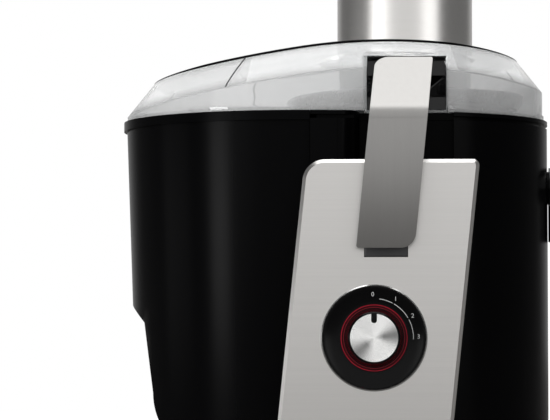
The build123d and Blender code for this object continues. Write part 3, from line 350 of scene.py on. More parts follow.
def bead(line, radius, steps=8):
    """Round bar along a closed line: each point plus radius (cos b) across and radius (sin b) up."""
    ahead = np.roll(line, -1, axis=0) - np.roll(line, 1, axis=0)
    across = np.stack([ahead[:, 1], -ahead[:, 0], 0 * ahead[:, 0]], axis=1)
    across /= np.linalg.norm(across, axis=1, keepdims=True)
    b = np.arange(steps) * 2 * pi / steps
    radius = np.broadcast_to(radius, len(line))[:, None, None]
    outwards = np.cos(b)[:, None] * across[:, None] + np.sin(b)[:, None] * np.array((0, 0, 1))
    points = line[:, None] + radius * outwards
    return points.reshape(-1, 3), grid_faces(len(line), steps, close_rows=True, close_columns=True)


def crown_edge(turn, drop):
    """Line on the crown's edge, lowered by drop."""
    x, y = egg(turn, LID_INSET + BAND_WIDTH)
    return np.stack([x, y, crown(x) - drop], axis=1)


DIAL_CENTRE = (-0.0209, 0.0, 0.076)
DISH_OUT = 0.032
DISH_LIP = 0.031
DISH_IN = 0.0213
RING_IN = 0.0189
DISH_NECK = 0.0052
DISH_BACK = 0.1176
DISH_FLOOR = 0.1206
DISH_EDGE = 0.1226
GROOVE = 0.1197
NUMBERS = (("0", -0.0008, 0.0272), ("1", 0.0135, 0.0243), ("2", 0.0241, 0.0138), ("3", 0.0278, 0.0007))
TYPE_SCALE = 1.38               # size of the typeface over the height of a number
ARC_STEPS = 24
ARCS = ((7.7, 28.1), (30.5, 59.4), (62.2, 91.9))
ARC_HALF = 0.0002
MARK_RAISE = 0.00012


def dish_height(radius):
    """How far in front of the drive axis the dish lies: floor + rise s^1.8, with s the way to the lip."""
    way = np.clip((np.asarray(radius) - DISH_IN) / (DISH_LIP - DISH_IN), 0, 1)
    return DISH_FLOOR + (DISH_EDGE - DISH_FLOOR) * way ** 1.8


def dish_profile():
    """Closed section of the dish as (radius, distance in front of the drive axis)."""
    hollow = np.linspace(DISH_LIP, DISH_IN, 18)
    return ([(DISH_NECK, DISH_BACK), (DISH_OUT, DISH_BACK), (DISH_OUT, DISH_EDGE - 0.0003),
             (DISH_OUT - 0.0003, DISH_EDGE)] + list(zip(hollow, dish_height(hollow))) +
            [(DISH_IN, GROOVE), (RING_IN, GROOVE), (RING_IN, DISH_FLOOR), (DISH_NECK, DISH_FLOOR)])


def dial_marks(sizes):
    """Numbers and arcs as one thin mesh that lies on the dish, raised by a little at every point.

    An arc is the grid (r, a) -> centre + r (sin a, cos a), with a measured clockwise from the top. The
    numbers are filled outlines of the standard typeface.
    """
    points, faces, first = [], [], 0
    for start, stop in ARCS:
        angle = np.radians(np.linspace(start, stop, ARC_STEPS))
        radius = sizes.arc_radius + np.array((-1, 1, 1, -1)) * ARC_HALF
        raised = np.array((1, 1, 0, 0)) * MARK_RAISE
        x, r = np.meshgrid(angle, radius, indexing="ij")
        ring = np.stack([r * np.sin(x), -(dish_height(r) + raised), r * np.cos(x)], axis=-1)
        points.append(ring.reshape(-1, 3))
        faces += [tuple(first + f) for f in bar_faces(ARC_STEPS)]
        first += ARC_STEPS * 4
    for number, x, z in NUMBERS:
        curve = bpy.data.curves.new("number", "FONT")
        curve.body = number
        curve.size = sizes.mark_height * TYPE_SCALE
        curve.align_x = "CENTER"
        curve.align_y = "CENTER"
        curve.extrude = MARK_RAISE / 2
        holder = bpy.data.objects.new("number", curve)
        shape = bpy.data.meshes.new_from_object(holder)
        flat = np.empty(len(shape.vertices) * 3)
        shape.vertices.foreach_get("co", flat)
        flat = flat.reshape(-1, 3)
        across, up = flat[:, 0] + x, flat[:, 1] + z
        forward = dish_height(np.hypot(across, up)) + flat[:, 2] + MARK_RAISE / 2
        points.append(np.stack([across, -forward, up], axis=1))
        faces += [tuple(first + v for v in face.vertices) for face in shape.polygons]
        first += len(flat)
        bpy.data.objects.remove(holder)
        bpy.data.curves.remove(curve)
        bpy.data.meshes.remove(shape)
    return np.concatenate(points) + np.array(DIAL_CENTRE), faces


STRIP_FOOT = np.array((-0.1324, 0.132))
STRIP_BEND = np.array((-0.1346, 0.218))
STRIP_TOP = np.array((-0.1046, 0.254))
STRIP_BEND_R = 0.015
STRIP_BOW = 0.0024
STRIP_THICK = 0.0012
STRIP_HALF = 0.0182
STRIP_MID_X = -0.0052
STRIP_LEAN = 0.1
STRIP_ROUND = 0.0085
STRIP_SHARP = 0.0016


def strip(side):
    """Front and back of a bent sheet, closed round its edge.

    The path runs up from the foot, turns through an arc at the bend and ends at the top. Its lower run bows
    out by 4 t (1 - t). Across, the sheet spans middle(z) +- half, less r - sqrt(r^2 - (r - d)^2) at a
    distance d from an end whose corner has the radius r. Negative side is the front of the machine.
    """
    rise = (STRIP_BEND - STRIP_FOOT) / np.linalg.norm(STRIP_BEND - STRIP_FOOT)
    back = (STRIP_TOP - STRIP_BEND) / np.linalg.norm(STRIP_TOP - STRIP_BEND)
    turn = np.arccos(rise @ back)
    cut = STRIP_BEND_R * tan(turn / 2)
    start = STRIP_BEND - rise * cut
    stop = STRIP_BEND + back * cut
    t = (1 - np.cos(np.linspace(0, pi, 49))) / 2
    low = STRIP_FOOT + t[:, None] * (start - STRIP_FOOT)
    low[:, 0] -= STRIP_BOW * 4 * t * (1 - t)
    middle_way = np.linspace(0, turn, 14)[1:-1, None]
    normal = np.array((rise[1], -rise[0])) * np.sign(back[0] * rise[1])
    arc = start + STRIP_BEND_R * (np.sin(middle_way) * rise + (1 - np.cos(middle_way)) * normal)
    high = stop + t[:, None] * (STRIP_TOP - stop)
    path = np.concatenate([low, arc, high])
    inner = np.concatenate([STRIP_FOOT + t[:, None] * (start - STRIP_FOOT), arc, high])
    step = np.gradient(inner, axis=0)
    step /= np.linalg.norm(step, axis=1, keepdims=True)
    inward = np.stack([step[:, 1], -step[:, 0]], axis=1)
    inner = inner + inward * STRIP_THICK
    height = path[:, 1]
    from_low = height - STRIP_FOOT[1]
    from_top = np.linalg.norm(path - STRIP_TOP, axis=1)

    def cut_in(distance, radius):
        """Depth of a corner's arc at a distance from the end of the strip."""
        short = np.clip(radius - distance, 0, radius)
        return radius - np.sqrt(radius ** 2 - short ** 2)

    middle = STRIP_MID_X + STRIP_LEAN * (height - STRIP_BEND[1])
    left = middle - STRIP_HALF + cut_in(from_top, STRIP_ROUND) + cut_in(from_low, STRIP_SHARP)
    right = middle + STRIP_HALF - cut_in(from_top, STRIP_SHARP) - cut_in(from_low, STRIP_ROUND)
    across = np.linspace(0, 1, 13)
    x = left[:, None] * (1 - across) + right[:, None] * across
    sheets = []
    for line in (path, inner):
        y = -side * line[:, :1] + 0 * x
        z = line[:, 1:] + 0 * x
        sheets.append(np.stack([x, y, z], axis=-1))
    rows, columns = x.shape
    count = rows * columns
    front = grid_faces(rows, columns)
    edge = np.concatenate([np.arange(columns), np.arange(1, rows) * columns + columns - 1,
                           count - 2 - np.arange(columns - 1), np.arange(rows - 2, 0, -1) * columns])
    following = np.roll(edge, -1)
    wall = np.stack([edge, edge + count, following + count, following], axis=-1)
    faces = np.concatenate([front, front[:, ::-1] + count, wall])
    if side > 0:
        faces = faces[:, ::-1]
    return np.concatenate([part.reshape(-1, 3) for part in sheets]), faces


# ---- shared effects --------------------------------------------------------------------------------
def ramp_of(tree, value, stops, blend="LINEAR"):
    """Colour by a value, from (place, colour) stops."""
    ramp = tree.nodes.new("ShaderNodeValToRGB")
    ramp.color_ramp.interpolation = blend
    while len(ramp.color_ramp.elements) < len(stops):
        ramp.color_ramp.elements.new(0.5)
    for element, (place, colour) in zip(ramp.color_ramp.elements, stops):
        element.position = place
        element.color = (*colour, 1)
    tree.links.new(value, ramp.inputs[0])
    return ramp.outputs[0]


def new_group(name, inputs, outputs):
    """Empty shader group with float inputs (name, default) and float outputs."""
    group = bpy.data.node_groups.new(name, "ShaderNodeTree")
    for label, value in inputs:
        socket = group.interface.new_socket(name=label, in_out="INPUT", socket_type="NodeSocketFloat")
        socket.default_value = value
    for label in outputs:
        group.interface.new_socket(name=label, in_out="OUTPUT", socket_type="NodeSocketFloat")
    return group, group.nodes.new("NodeGroupInput"), group.nodes.new("NodeGroupOutput")


def math_node(tree, operation, first, second):
    """Math node on two values, each a socket or a number."""
    node = tree.nodes.new("ShaderNodeMath")
    node.operation = operation
    for slot, value in zip(node.inputs, (first, second)):
        if isinstance(value, (int, float)):
            slot.default_value = value
        else:
            tree.links.new(value, slot)
    return node.outputs[0]


def noise(tree, vector, scale, detail=3.0, rough=0.55):
    """Noise texture value on a coordinate."""
    node = tree.nodes.new("ShaderNodeTexNoise")
    node.inputs["Detail"].default_value = detail
    node.inputs["Roughness"].default_value = rough
    tree.links.new(vector, node.inputs["Vector"])
    if isinstance(scale, (int, float)):
        node.inputs["Scale"].default_value = scale
    else:
        tree.links.new(scale, node.inputs["Scale"])
    return node.outputs["Fac"]


def mapped(tree, vector, scale=(1, 1, 1), location=(0, 0, 0)):
    """Coordinate stretched by a Mapping node."""
    node = tree.nodes.new("ShaderNodeMapping")
    node.inputs["Scale"].default_value = scale
    node.inputs["Location"].default_value = location
    tree.links.new(vector, node.inputs["Vector"])
    return node.outputs[0]


def moulded_group():
    """Moulded plastic: a fine orange peel height, and roughness that handling and dust vary."""
    inputs = [("Roughness", 0.2), ("Variation", 0.05), ("Peel Scale", 900.0)]
    group, given, made = new_group("Moulded surface", inputs, ["Roughness", "Height"])
    where = group.nodes.new("ShaderNodeTexCoord").outputs["Object"]
    smudge = noise(group, where, 28.0, 4.0, 0.62)
    centred = math_node(group, "SUBTRACT", smudge, 0.5)
    change = math_node(group, "MULTIPLY", centred, given.outputs["Variation"])
    rough = math_node(group, "ADD", change, given.outputs["Roughness"])
    group.links.new(math_node(group, "MAXIMUM", rough, 0.02), made.inputs["Roughness"])
    group.links.new(noise(group, where, given.outputs["Peel Scale"], 1.0), made.inputs["Height"])
    return group


def brushed_group(name, stretch):
    """Brushed metal: long scratches along the axis whose stretch is smallest."""
    group, given, made = new_group(name, [("Roughness", 0.3), ("Variation", 0.12)],
                                   ["Roughness", "Height", "Tone"])
    where = group.nodes.new("ShaderNodeTexCoord").outputs["Object"]
    fine = noise(group, mapped(group, where, stretch), 1.0, 3.0, 0.7)
    broad = noise(group, mapped(group, where, [s * 0.12 for s in stretch], (3, 1, 7)), 1.0, 2.0, 0.6)
    both = math_node(group, "MULTIPLY", math_node(group, "ADD", fine, broad), 0.5)
    centred = math_node(group, "SUBTRACT", both, 0.5)
    change = math_node(group, "MULTIPLY", centred, given.outputs["Variation"])
    group.links.new(math_node(group, "ADD", change, given.outputs["Roughness"]), made.inputs["Roughness"])
    group.links.new(fine, made.inputs["Height"])
    group.links.new(both, made.inputs["Tone"])
    return group


def dial_group():
    """Place on the dial's face: millimetres from its axis, and the angle, from -pi to pi."""
    group, _, made = new_group("Dial place", [], ["Radius", "Angle"])
    where = group.nodes.new("ShaderNodeTexCoord").outputs["Object"]
    split = group.nodes.new("ShaderNodeSeparateXYZ")
    centre = [-place * MM_PER_METRE for place in DIAL_CENTRE]
    centred = mapped(group, where, (MM_PER_METRE,) * 3, (centre[0], 0, centre[2]))
    group.links.new(centred, split.inputs[0])
    squares = math_node(group, "ADD", math_node(group, "POWER", split.outputs["X"], 2),
                        math_node(group, "POWER", split.outputs["Z"], 2))
    angle = math_node(group, "ARCTAN2", split.outputs["Z"], split.outputs["X"])
    group.links.new(math_node(group, "SQRT", squares, 0), made.inputs["Radius"])
    group.links.new(angle, made.inputs["Angle"])
    return group


# ---- finishes --------------------------------------------------------------------------------------
GROUPS = {}
FINISHES = {}


def tinted(colour, share):
    """Colour multiplied by a share."""
    return [c * share for c in colour]


def start_material(name, colour, **sockets):
    """Material with one Principled shader whose plain sockets are set by name."""
    material = bpy.data.materials.new(name)
    material.use_nodes = True
    tree = material.node_tree
    shader = tree.nodes["Principled BSDF"]
    shader.inputs["Base Color"].default_value = (*colour, 1)
    for label, value in sockets.items():
        shader.inputs[label.replace("_", " ")].default_value = value
    return material, tree, shader


def place_group(tree, key, **values):
    """Puts a shared effect in a material with its own values."""
    node = tree.nodes.new("ShaderNodeGroup")
    node.node_tree = GROUPS[key]
    for label, value in values.items():
        node.inputs[label.replace("_", " ")].default_value = value
    return node.outputs


def add_bump(tree, shader, height, strength, distance):
    """Feeds a height to the shader's normal through a Bump node."""
    bump = tree.nodes.new("ShaderNodeBump")
    bump.inputs["Strength"].default_value = strength
    bump.inputs["Distance"].default_value = distance
    tree.links.new(height, bump.inputs["Height"])
    tree.links.new(bump.outputs[0], shader.inputs["Normal"])


def moulded(name, colour, roughness, variation=0.06, peel=900.0, depth=0.00001, **sockets):
    """Moulded plastic or rubber finish."""
    material, tree, shader = start_material(name, colour, **sockets)
    effect = place_group(tree, "moulded", Roughness=roughness, Variation=variation, Peel_Scale=peel)
    tree.links.new(effect["Roughness"], shader.inputs["Roughness"])
    add_bump(tree, shader, effect["Height"], 0.25, depth)
    return material


def brushed(name, key, colour, roughness, variation=0.12, depth=0.00002, contrast=0.08, **sockets):
    """Brushed metal finish."""
    material, tree, shader = start_material(name, colour, Metallic=1.0, **sockets)
    effect = place_group(tree, key, Roughness=roughness, Variation=variation)
    dark = tinted(colour, 1 - contrast)
    bright = [min(1, c) for c in tinted(colour, 1 + contrast)]
    tone = ramp_of(tree, effect["Tone"], [(0.3, dark), (0.7, bright)])
    tree.links.new(tone, shader.inputs["Base Color"])
    tree.links.new(effect["Roughness"], shader.inputs["Roughness"])
    add_bump(tree, shader, effect["Height"], 0.3, depth)
    return material


CLEAR_IOR = 1.42
# How much light passes the walls and the top: less on the walls as painted shade, more on the top as painted
# light from above.
SHADED_WALL_CLEARNESS = (0.73,) * 3
LIT_TOP_CLEARNESS = (0.875,) * 3
CLEAR_SHADOW = (0.93, 0.94, 0.94)


def clear_plastic(name, wall, top, roughness=0.03):
    """Clear moulding that casts a pale shadow; its upright walls are painted darker and more milky than its
    top, as painted shade on the walls and painted light from above on the top.
    """
    material, tree, shader = start_material(name, top, IOR=CLEAR_IOR)
    # Painted shade on the walls and painted light on the top, blended by each point's share of the top.
    zone = tree.nodes.new("ShaderNodeAttribute")
    zone.attribute_name = "lit_top"
    zones = (("Base Color", wall, top), ("Transmission Weight", SHADED_WALL_CLEARNESS, LIT_TOP_CLEARNESS))
    for socket, low, high in zones:
        blend = ramp_of(tree, zone.outputs["Fac"], [(0.0, low), (1.0, high)])
        tree.links.new(blend, shader.inputs[socket])
    effect = place_group(tree, "moulded", Roughness=roughness, Variation=0.03, Peel_Scale=300.0)
    tree.links.new(effect["Roughness"], shader.inputs["Roughness"])
    passing = tree.nodes.new("ShaderNodeBsdfTransparent")
    passing.inputs[0].default_value = (*CLEAR_SHADOW, 1)
    path = tree.nodes.new("ShaderNodeLightPath")
    mix = tree.nodes.new("ShaderNodeMixShader")
    tree.links.new(path.outputs["Is Shadow Ray"], mix.inputs[0])
    tree.links.new(shader.outputs[0], mix.inputs[1])
    tree.links.new(passing.outputs[0], mix.inputs[2])
    tree.links.new(mix.outputs[0], tree.nodes["Material Output"].inputs[0])
    return material


def lit_ring(name, colour):
    """Ring of red light: a bright outer line, a softer inner one and a dark track between them."""
    material, tree, shader = start_material(name, colour, Roughness=0.35, Specular_IOR_Level=0.1,
                                            Emission_Strength=0.05)
    radius = place_group(tree, "dial")["Radius"]
    inner, outer = RING_IN * MM_PER_METRE, DISH_IN * MM_PER_METRE
    way = math_node(tree, "DIVIDE", math_node(tree, "SUBTRACT", radius, inner), outer - inner)
    dim = tinted(colour, 0.04)
    soft = tinted(colour, 0.5)
    tone = ramp_of(tree, way, [(0.0, dim), (0.06, soft), (0.11, soft), (0.17, dim),
                               (0.62, dim), (0.67, colour), (0.74, colour), (0.8, dim)])
    tree.links.new(tone, shader.inputs["Base Color"])
    tree.links.new(tone, shader.inputs["Emission Color"])
    return material


# Painted reflection: dark lobes drawn into the cap's colour where its sheen would dim.
PAINTED_SHEEN_LOBES = ((8, 9, 0.85), (222, 7, 0.8), (128, 5, 0.18))     # angle in degrees, sharpness, depth
PAINTED_SHEEN_MIDDLE = 6                 # radius in millimetres inside which the lobes fade
SPUN_PITCH = 0.32               # millimetres between two rings


def spun_metal(name, colour):
    """Spun metal face: fine rings about the dial's axis, painted dark lobes of reflected sheen in its
    colour, and a painted glow.
    """
    # Painted glow: the cap gives off light in its own colour, so it looks brighter.
    material, tree, shader = start_material(name, colour, Metallic=1.0, Emission_Strength=0.2)
    place = place_group(tree, "dial")
    painted_lobes = 0
    for turn, power, depth in PAINTED_SHEEN_LOBES:
        facing = math_node(tree, "COSINE", math_node(tree, "SUBTRACT", place["Angle"], radians(turn)), 0)
        painted_sheen = math_node(tree, "POWER", math_node(tree, "MAXIMUM", facing, 0), power)
        painted_lobes = math_node(tree, "ADD", math_node(tree, "MULTIPLY", painted_sheen, depth), painted_lobes)
    reach = math_node(tree, "MINIMUM", math_node(tree, "DIVIDE", place["Radius"], PAINTED_SHEEN_MIDDLE), 1)
    fade = math_node(tree, "MULTIPLY", painted_lobes, reach)
    # Painted reflection: the lobes darken the colour and the glow.
    tone = ramp_of(tree, fade, [(0.0, colour), (1.0, tinted(colour, 0.12))])
    tree.links.new(tone, shader.inputs["Base Color"])
    tree.links.new(tone, shader.inputs["Emission Color"])
    rings = math_node(tree, "SINE", math_node(tree, "MULTIPLY", place["Radius"], 2 * pi / SPUN_PITCH), 0)
    effect = place_group(tree, "turned", Roughness=0.24, Variation=0.08)
    tree.links.new(effect["Roughness"], shader.inputs["Roughness"])
    add_bump(tree, shader, rings, 0.35, 0.000008)
    return material


SIEVE_ROWS = 620.0              # rows of holes to a metre of height
SIEVE_HOLES = 230               # holes in a row
SIEVE_OPEN = 0.075              # square of a hole's radius over its pitch


def sieve(name, colour):
    """Perforated steel: rows of round holes, staggered, cut out by alpha."""
    material, tree, shader = start_material(name, colour, Metallic=1.0)
    split = tree.nodes.new("ShaderNodeSeparateXYZ")
    tree.links.new(tree.nodes.new("ShaderNodeTexCoord").outputs["Object"], split.inputs[0])
    row = math_node(tree, "MULTIPLY", split.outputs["Z"], SIEVE_ROWS)
    angle = math_node(tree, "ARCTAN2", split.outputs["Y"], split.outputs["X"])
    shift = math_node(tree, "MULTIPLY", math_node(tree, "FLOOR", row, 0), 0.5)
    column = math_node(tree, "ADD", math_node(tree, "MULTIPLY", angle, SIEVE_HOLES / (2 * pi)), shift)
    off = [math_node(tree, "POWER", math_node(tree, "SUBTRACT", math_node(tree, "FRACT", v, 0), 0.5), 2)
           for v in (row, column)]
    away = math_node(tree, "ADD", off[0], off[1])
    tree.links.new(math_node(tree, "GREATER_THAN", away, SIEVE_OPEN), shader.inputs["Alpha"])
    effect = place_group(tree, "turned", Roughness=0.3, Variation=0.1)
    tree.links.new(effect["Roughness"], shader.inputs["Roughness"])
    return material


def make_finishes(colours):
    """Every finish of the juicer, by its slot's name."""
    GROUPS["moulded"] = moulded_group()
    GROUPS["upright"] = brushed_group("Upright brushing", (2600, 2600, 14))
    GROUPS["level"] = brushed_group("Level brushing", (14, 2600, 2600))
    GROUPS["turned"] = brushed_group("Turned metal", (900, 900, 900))
    GROUPS["dial"] = dial_group()
    black = tuple(colours.black)
    steel = tuple(colours.steel)
    clear = tuple(colours.clear)
    FINISHES.update({
        "housing_black": moulded("Housing black", black, 0.22, 0.03, Specular_IOR_Level=0.03),
        "gloss_black": moulded("Gloss black", black, 0.09, 0.04, Specular_IOR_Level=0.4),
        "matte_black": moulded("Matt black", (0.015, 0.015, 0.016), 0.48, 0.12, 600.0, 0.00004),
        "smoke_plastic": moulded("Smoke plastic", (0.02, 0.02, 0.022), 0.12),
        # The walls get the clear tint at half strength as painted shade; the top gets it whole as painted
        # light.
        "clear_plastic": clear_plastic("Clear plastic", tinted(clear, 0.51), clear),
        "brushed_panel": brushed("Brushed steel", "level", steel, 0.3, 0.05, 0.000006, 0.03),
        "arm_steel": brushed("Arm steel", "upright", tinted(steel, 0.42), 0.34, 0.05, 0.000006, 0.03),
        "bright_trim": brushed("Bright trim", "turned", (0.62, 0.62, 0.61), 0.26, 0.03, 0.000002, 0.02),
        "spun_cap": spun_metal("Spun cap", (0.97, 0.97, 0.96)),
        "red_light": lit_ring("Red light", tuple(colours.light_ring)),
        "dish_black": moulded("Dish black", black, 0.2, 0.04, Specular_IOR_Level=0.14),
        "mark_grey": moulded("Dial print", (0.28, 0.28, 0.28), 0.5, Specular_IOR_Level=0.1),
        # Painted dark line: near-black seams on the clear band stand in for dark refraction lines in the
        # clear plastic.
        "lid_rib": moulded("Seam painted dark", (0.03, 0.03, 0.032), 0.3, Specular_IOR_Level=0.1),
        "perforated": sieve("Perforated steel", (0.66, 0.66, 0.67)),
        "rubber_black": moulded("Black rubber", (0.02, 0.02, 0.02), 0.7, 0.1, 700.0, 0.00005),
        "zinc_steel": brushed("Zinc steel", "turned", (0.58, 0.58, 0.6), 0.32),
        "laminated_steel": brushed("Laminations", "level", (0.25, 0.25, 0.27), 0.45, 0.2, 0.00005, 0.25),
        "enamelled_wire": moulded("Enamelled wire", (0.38, 0.12, 0.03), 0.3, 0.1, 400.0, 0.0001),
        "commutator_metal": brushed("Commutator metal", "upright", (0.65, 0.36, 0.2), 0.3),
        "carbon": moulded("Carbon", (0.03, 0.03, 0.03), 0.6),
        "cast_alloy": brushed("Cast alloy", "turned", (0.5, 0.51, 0.53), 0.5, 0.15, 0.00006),
        "fan_plastic": moulded("Fan plastic", (0.62, 0.6, 0.55), 0.5),
        "board_green": moulded("Board", (0.03, 0.14, 0.06), 0.35),
        "sieve_steel": brushed("Sieve steel", "turned", (0.62, 0.62, 0.63), 0.28),
        "capacitor_yellow": moulded("Capacitor", (0.6, 0.48, 0.05), 0.4),
    })


# ---- pieces ----------------------------------------------------------------------------------------
OWN_FINISH = {"basket_mesh": "perforated", "knob_body": "dish_black", "front_arm_lever": "housing_black",
              "rear_arm_lever": "housing_black"}
OWN_EDGE = {"front_arm_bracket": 0.0014, "rear_arm_bracket": 0.0014}
REMADE = ("lid", "front_arm_cover", "rear_arm_cover", "dial_bezel")


class FinishedNodes(Operator):
    """Every CAD node with its finish, and smooth copies of all that aren't made anew"""
    bl_idname = "juicer.finished_nodes"
    bl_label = "Finish CAD nodes"

    def execute(self, context):
        for node, thing in NODES.items():
            finish = FINISHES[OWN_FINISH.get(node, SLOT_OF[node])]
            thing.data.materials.clear()
            thing.data.materials.append(finish)
            if node not in REMADE:
                refined(node, finish, OWN_EDGE.get(node, 0.0))
        return {"FINISHED"}


class ArmStrips(Operator):
    """Bent metal strips on the two arms"""
    bl_idname = "juicer.arm_strips"
    bl_label = "Arm strips"

    def execute(self, context):
        for node, side in (("front_arm_cover", -1), ("rear_arm_cover", 1)):
            points, faces = strip(side)
            mesh = new_mesh(f"{node}_sheet", points, faces)
            piece = stand_in(node, f"{node}_sheet", mesh, FINISHES["arm_steel"])
            soften(piece, 0.0003)
            weld(piece)
        return {"FINISHED"}


class Lid(Operator):
    """Clear lid, a painted dark line along its crown's edge, its seams painted dark and the dark liners of
    its alcoves
    """
    bl_idname = "juicer.lid"
    bl_label = "Lid"

    def execute(self, context):
        points, faces, lit_top = lid_skin()
        mesh = new_mesh("lid_shell", points, faces)
        zone = mesh.attributes.new("lit_top", "FLOAT", "POINT")
        zone.data.foreach_set("value", lit_top)
        joined(mesh, 28)
        piece = stand_in("lid", "lid_shell", mesh, FINISHES["clear_plastic"])
        wall = piece.modifiers.new("Wall", "SOLIDIFY")
        wall.thickness = LID_WALL
        wall.offset = -1
        soften(piece, 0.0004)
        # Painted dark line: a black bead along the crown's edge stands in for the dark refraction in the
        # clear plastic's edge, thickest over the middle.
        turn = np.linspace(0, 2 * pi, 240, endpoint=False)
        line = crown_edge(turn, 0.0001)
        thick = np.interp(line[:, 0], (-0.165, -0.13, 0.03, 0.075), (0.0003, 0.00095, 0.00095, 0.0003))
        points, faces = bead(line, thick)
        edge = new_mesh("lid_crown_painted_dark_line", points, faces)
        add_piece("lid_crown_painted_dark_line", edge, "lid", FINISHES["housing_black"])
        for side, name in ((-1, "front"), (1, "rear")):
            # Seams coloured with a painted dark refraction line.
            mesh = new_mesh(f"lid_rib_{name}", *rib(side))
            add_piece(f"lid_rib_{name}", mesh, "lid", FINISHES["lid_rib"])
            mesh = new_mesh(f"arm_catch_{name}", *catch(side))
            liner = add_piece(f"arm_catch_{name}", mesh, "lid", FINISHES["gloss_black"])
            soften(liner, 0.0005)
            weld(liner)
        return {"FINISHED"}


class Dial(Operator):
    """Hollow dish of the dial, with its numbers and speed arcs"""
    bl_idname = "juicer.dial"
    bl_label = "Dial"

    def execute(self, context):
        sizes = context.scene.juicer_sizes
        points, faces = turned(dish_profile(), DIAL_CENTRE, sizes.segments)
        mesh = new_mesh("dial_dish", points, faces, 30)
        stand_in("dial_bezel", "dial_dish", mesh, FINISHES["dish_black"])
        points, faces = dial_marks(sizes)
        mesh = new_mesh("dial_marks", points, faces, 30)
        add_piece("dial_marks", mesh, BODY_OF["dial_bezel"], FINISHES["mark_grey"])
        return {"FINISHED"}


class Stage(Operator):
    """Floor, backdrop, lights and camera"""
    bl_idname = "juicer.stage"
    bl_label = "Stage"

    def execute(self, context):
        make_floor(context.scene.juicer_colours)
        make_world(context.scene.juicer_colours)
        make_lights()
        make_camera(context.scene)
        return {"FINISHED"}


# ---- stage -----------------------------------------------------------------------------------------
FLOOR_RADII = (0.6, 1.2, 2.5, 6.0)
FLOOR_STEPS = 96
FLOOR_FADE = (0.35, 1.1)        # where the floor starts and ends its change into the backdrop
FLOOR_REFLECTED = (0.2, 0.195, 0.19)
CAMERA_AT = Vector((-0.0209, -1.85, 0.076))
CAMERA_TOWARDS = Vector((-0.03586, 1.0, 0.04636))
CAMERA_LENS = 180.7
STUDIO_TONES = ((0.0, 0.84), (0.045, 0.86), (0.085, 1.7), (0.2, 1.7), (0.26, 0.1), (0.84, 0.13),
                (0.965, 0.5), (1.0, 0.6))      # from the front, at 0, to the back, at 1


def make_floor(colours):
    """Pale round floor that fades into the backdrop, dimmer where shiny pieces reflect it."""
    angle = np.arange(FLOOR_STEPS) * 2 * pi / FLOOR_STEPS
    radius = np.array(FLOOR_RADII)[:, None]
    rings = np.stack([radius * np.cos(angle), radius * np.sin(angle), 0 * radius * angle], axis=-1)
    points = np.concatenate([rings.reshape(-1, 3), [[0, 0, 0]]])
    faces = [tuple(f) for f in grid_faces(len(FLOOR_RADII), FLOOR_STEPS, close_columns=True)[:, ::-1]]
    faces += [(j, (j + 1) % FLOOR_STEPS, len(points) - 1) for j in range(FLOOR_STEPS)]
    mesh = new_mesh("floor", points, faces)
    material, tree, shader = start_material("Floor", tuple(colours.backdrop), Roughness=0.7)
    where = tree.nodes.new("ShaderNodeTexCoord").outputs["Object"]
    reach = tree.nodes.new("ShaderNodeVectorMath")
    reach.operation = "LENGTH"
    tree.links.new(where, reach.inputs[0])
    fade = tree.nodes.new("ShaderNodeMapRange")
    fade.inputs["From Min"].default_value, fade.inputs["From Max"].default_value = FLOOR_FADE
    tree.links.new(reach.outputs["Value"], fade.inputs["Value"])
    glow = tree.nodes.new("ShaderNodeEmission")
    glow.inputs[0].default_value = (*tuple(colours.backdrop), 1)
    far = tree.nodes.new("ShaderNodeMixShader")
    tree.links.new(fade.outputs[0], far.inputs[0])
    tree.links.new(shader.outputs[0], far.inputs[1])
    tree.links.new(glow.outputs[0], far.inputs[2])
    dim = tree.nodes.new("ShaderNodeEmission")
    dim.inputs[0].default_value = (*FLOOR_REFLECTED, 1)
    path = tree.nodes.new("ShaderNodeLightPath")
    seen = tree.nodes.new("ShaderNodeMixShader")
    tree.links.new(path.outputs["Is Glossy Ray"], seen.inputs[0])
    tree.links.new(far.outputs[0], seen.inputs[1])
    tree.links.new(dim.outputs[0], seen.inputs[2])
    tree.links.new(seen.outputs[0], tree.nodes["Material Output"].inputs[0])
    mesh.materials.append(material)
    floor = bpy.data.objects.new("floor", mesh)
    bpy.context.scene.collection.objects.link(floor)


def make_world(colours):
    """Pale backdrop; shiny pieces reflect a ring of tones, by the sideways angle from the front."""
    world = bpy.data.worlds.new("Studio")
    bpy.context.scene.world = world
    world.use_nodes = True
    tree = world.node_tree
    back = tree.nodes["Background"]
    split = tree.nodes.new("ShaderNodeSeparateXYZ")
    tree.links.new(tree.nodes.new("ShaderNodeTexCoord").outputs["Generated"], split.inputs[0])
    squares = [math_node(tree, "POWER", split.outputs[axis], 2) for axis in "XY"]
    level = math_node(tree, "POWER", math_node(tree, "ADD", *squares), 0.5)
    share = math_node(tree, "DIVIDE", split.outputs["Y"], math_node(tree, "MAXIMUM", level, 0.0001))
    turn = math_node(tree, "MULTIPLY", math_node(tree, "ADD", share, 1), 0.5)
    tones = ramp_of(tree, turn, [(place, (tone,) * 3) for place, tone in STUDIO_TONES], "EASE")
    path = tree.nodes.new("ShaderNodeLightPath")
    seen, through = path.outputs["Is Camera Ray"], path.outputs["Is Transmission Ray"]
    direct = math_node(tree, "MAXIMUM", seen, through)
    pick = tree.nodes.new("ShaderNodeMixRGB")
    pick.inputs[2].default_value = (*tuple(colours.backdrop), 1)
    tree.links.new(direct, pick.inputs[0])
    tree.links.new(tones, pick.inputs[1])
    tree.links.new(pick.outputs[0], back.inputs[0])


def area_light(name, place, target, size, power, reflected=True):
    """Rectangular soft light aimed at a point, unseen directly and through clear plastic."""
    light = bpy.data.lights.new(name, "AREA")
    light.shape = "RECTANGLE"
    light.size, light.size_y = size
    light.energy = power
    lamp = bpy.data.objects.new(name, light)
    lamp.location = place
    lamp.rotation_euler = (Vector(target) - Vector(place)).to_track_quat("-Z", "Y").to_euler()
    lamp.visible_camera = False
    lamp.visible_transmission = False
    lamp.visible_glossy = reflected
    bpy.context.scene.collection.objects.link(lamp)


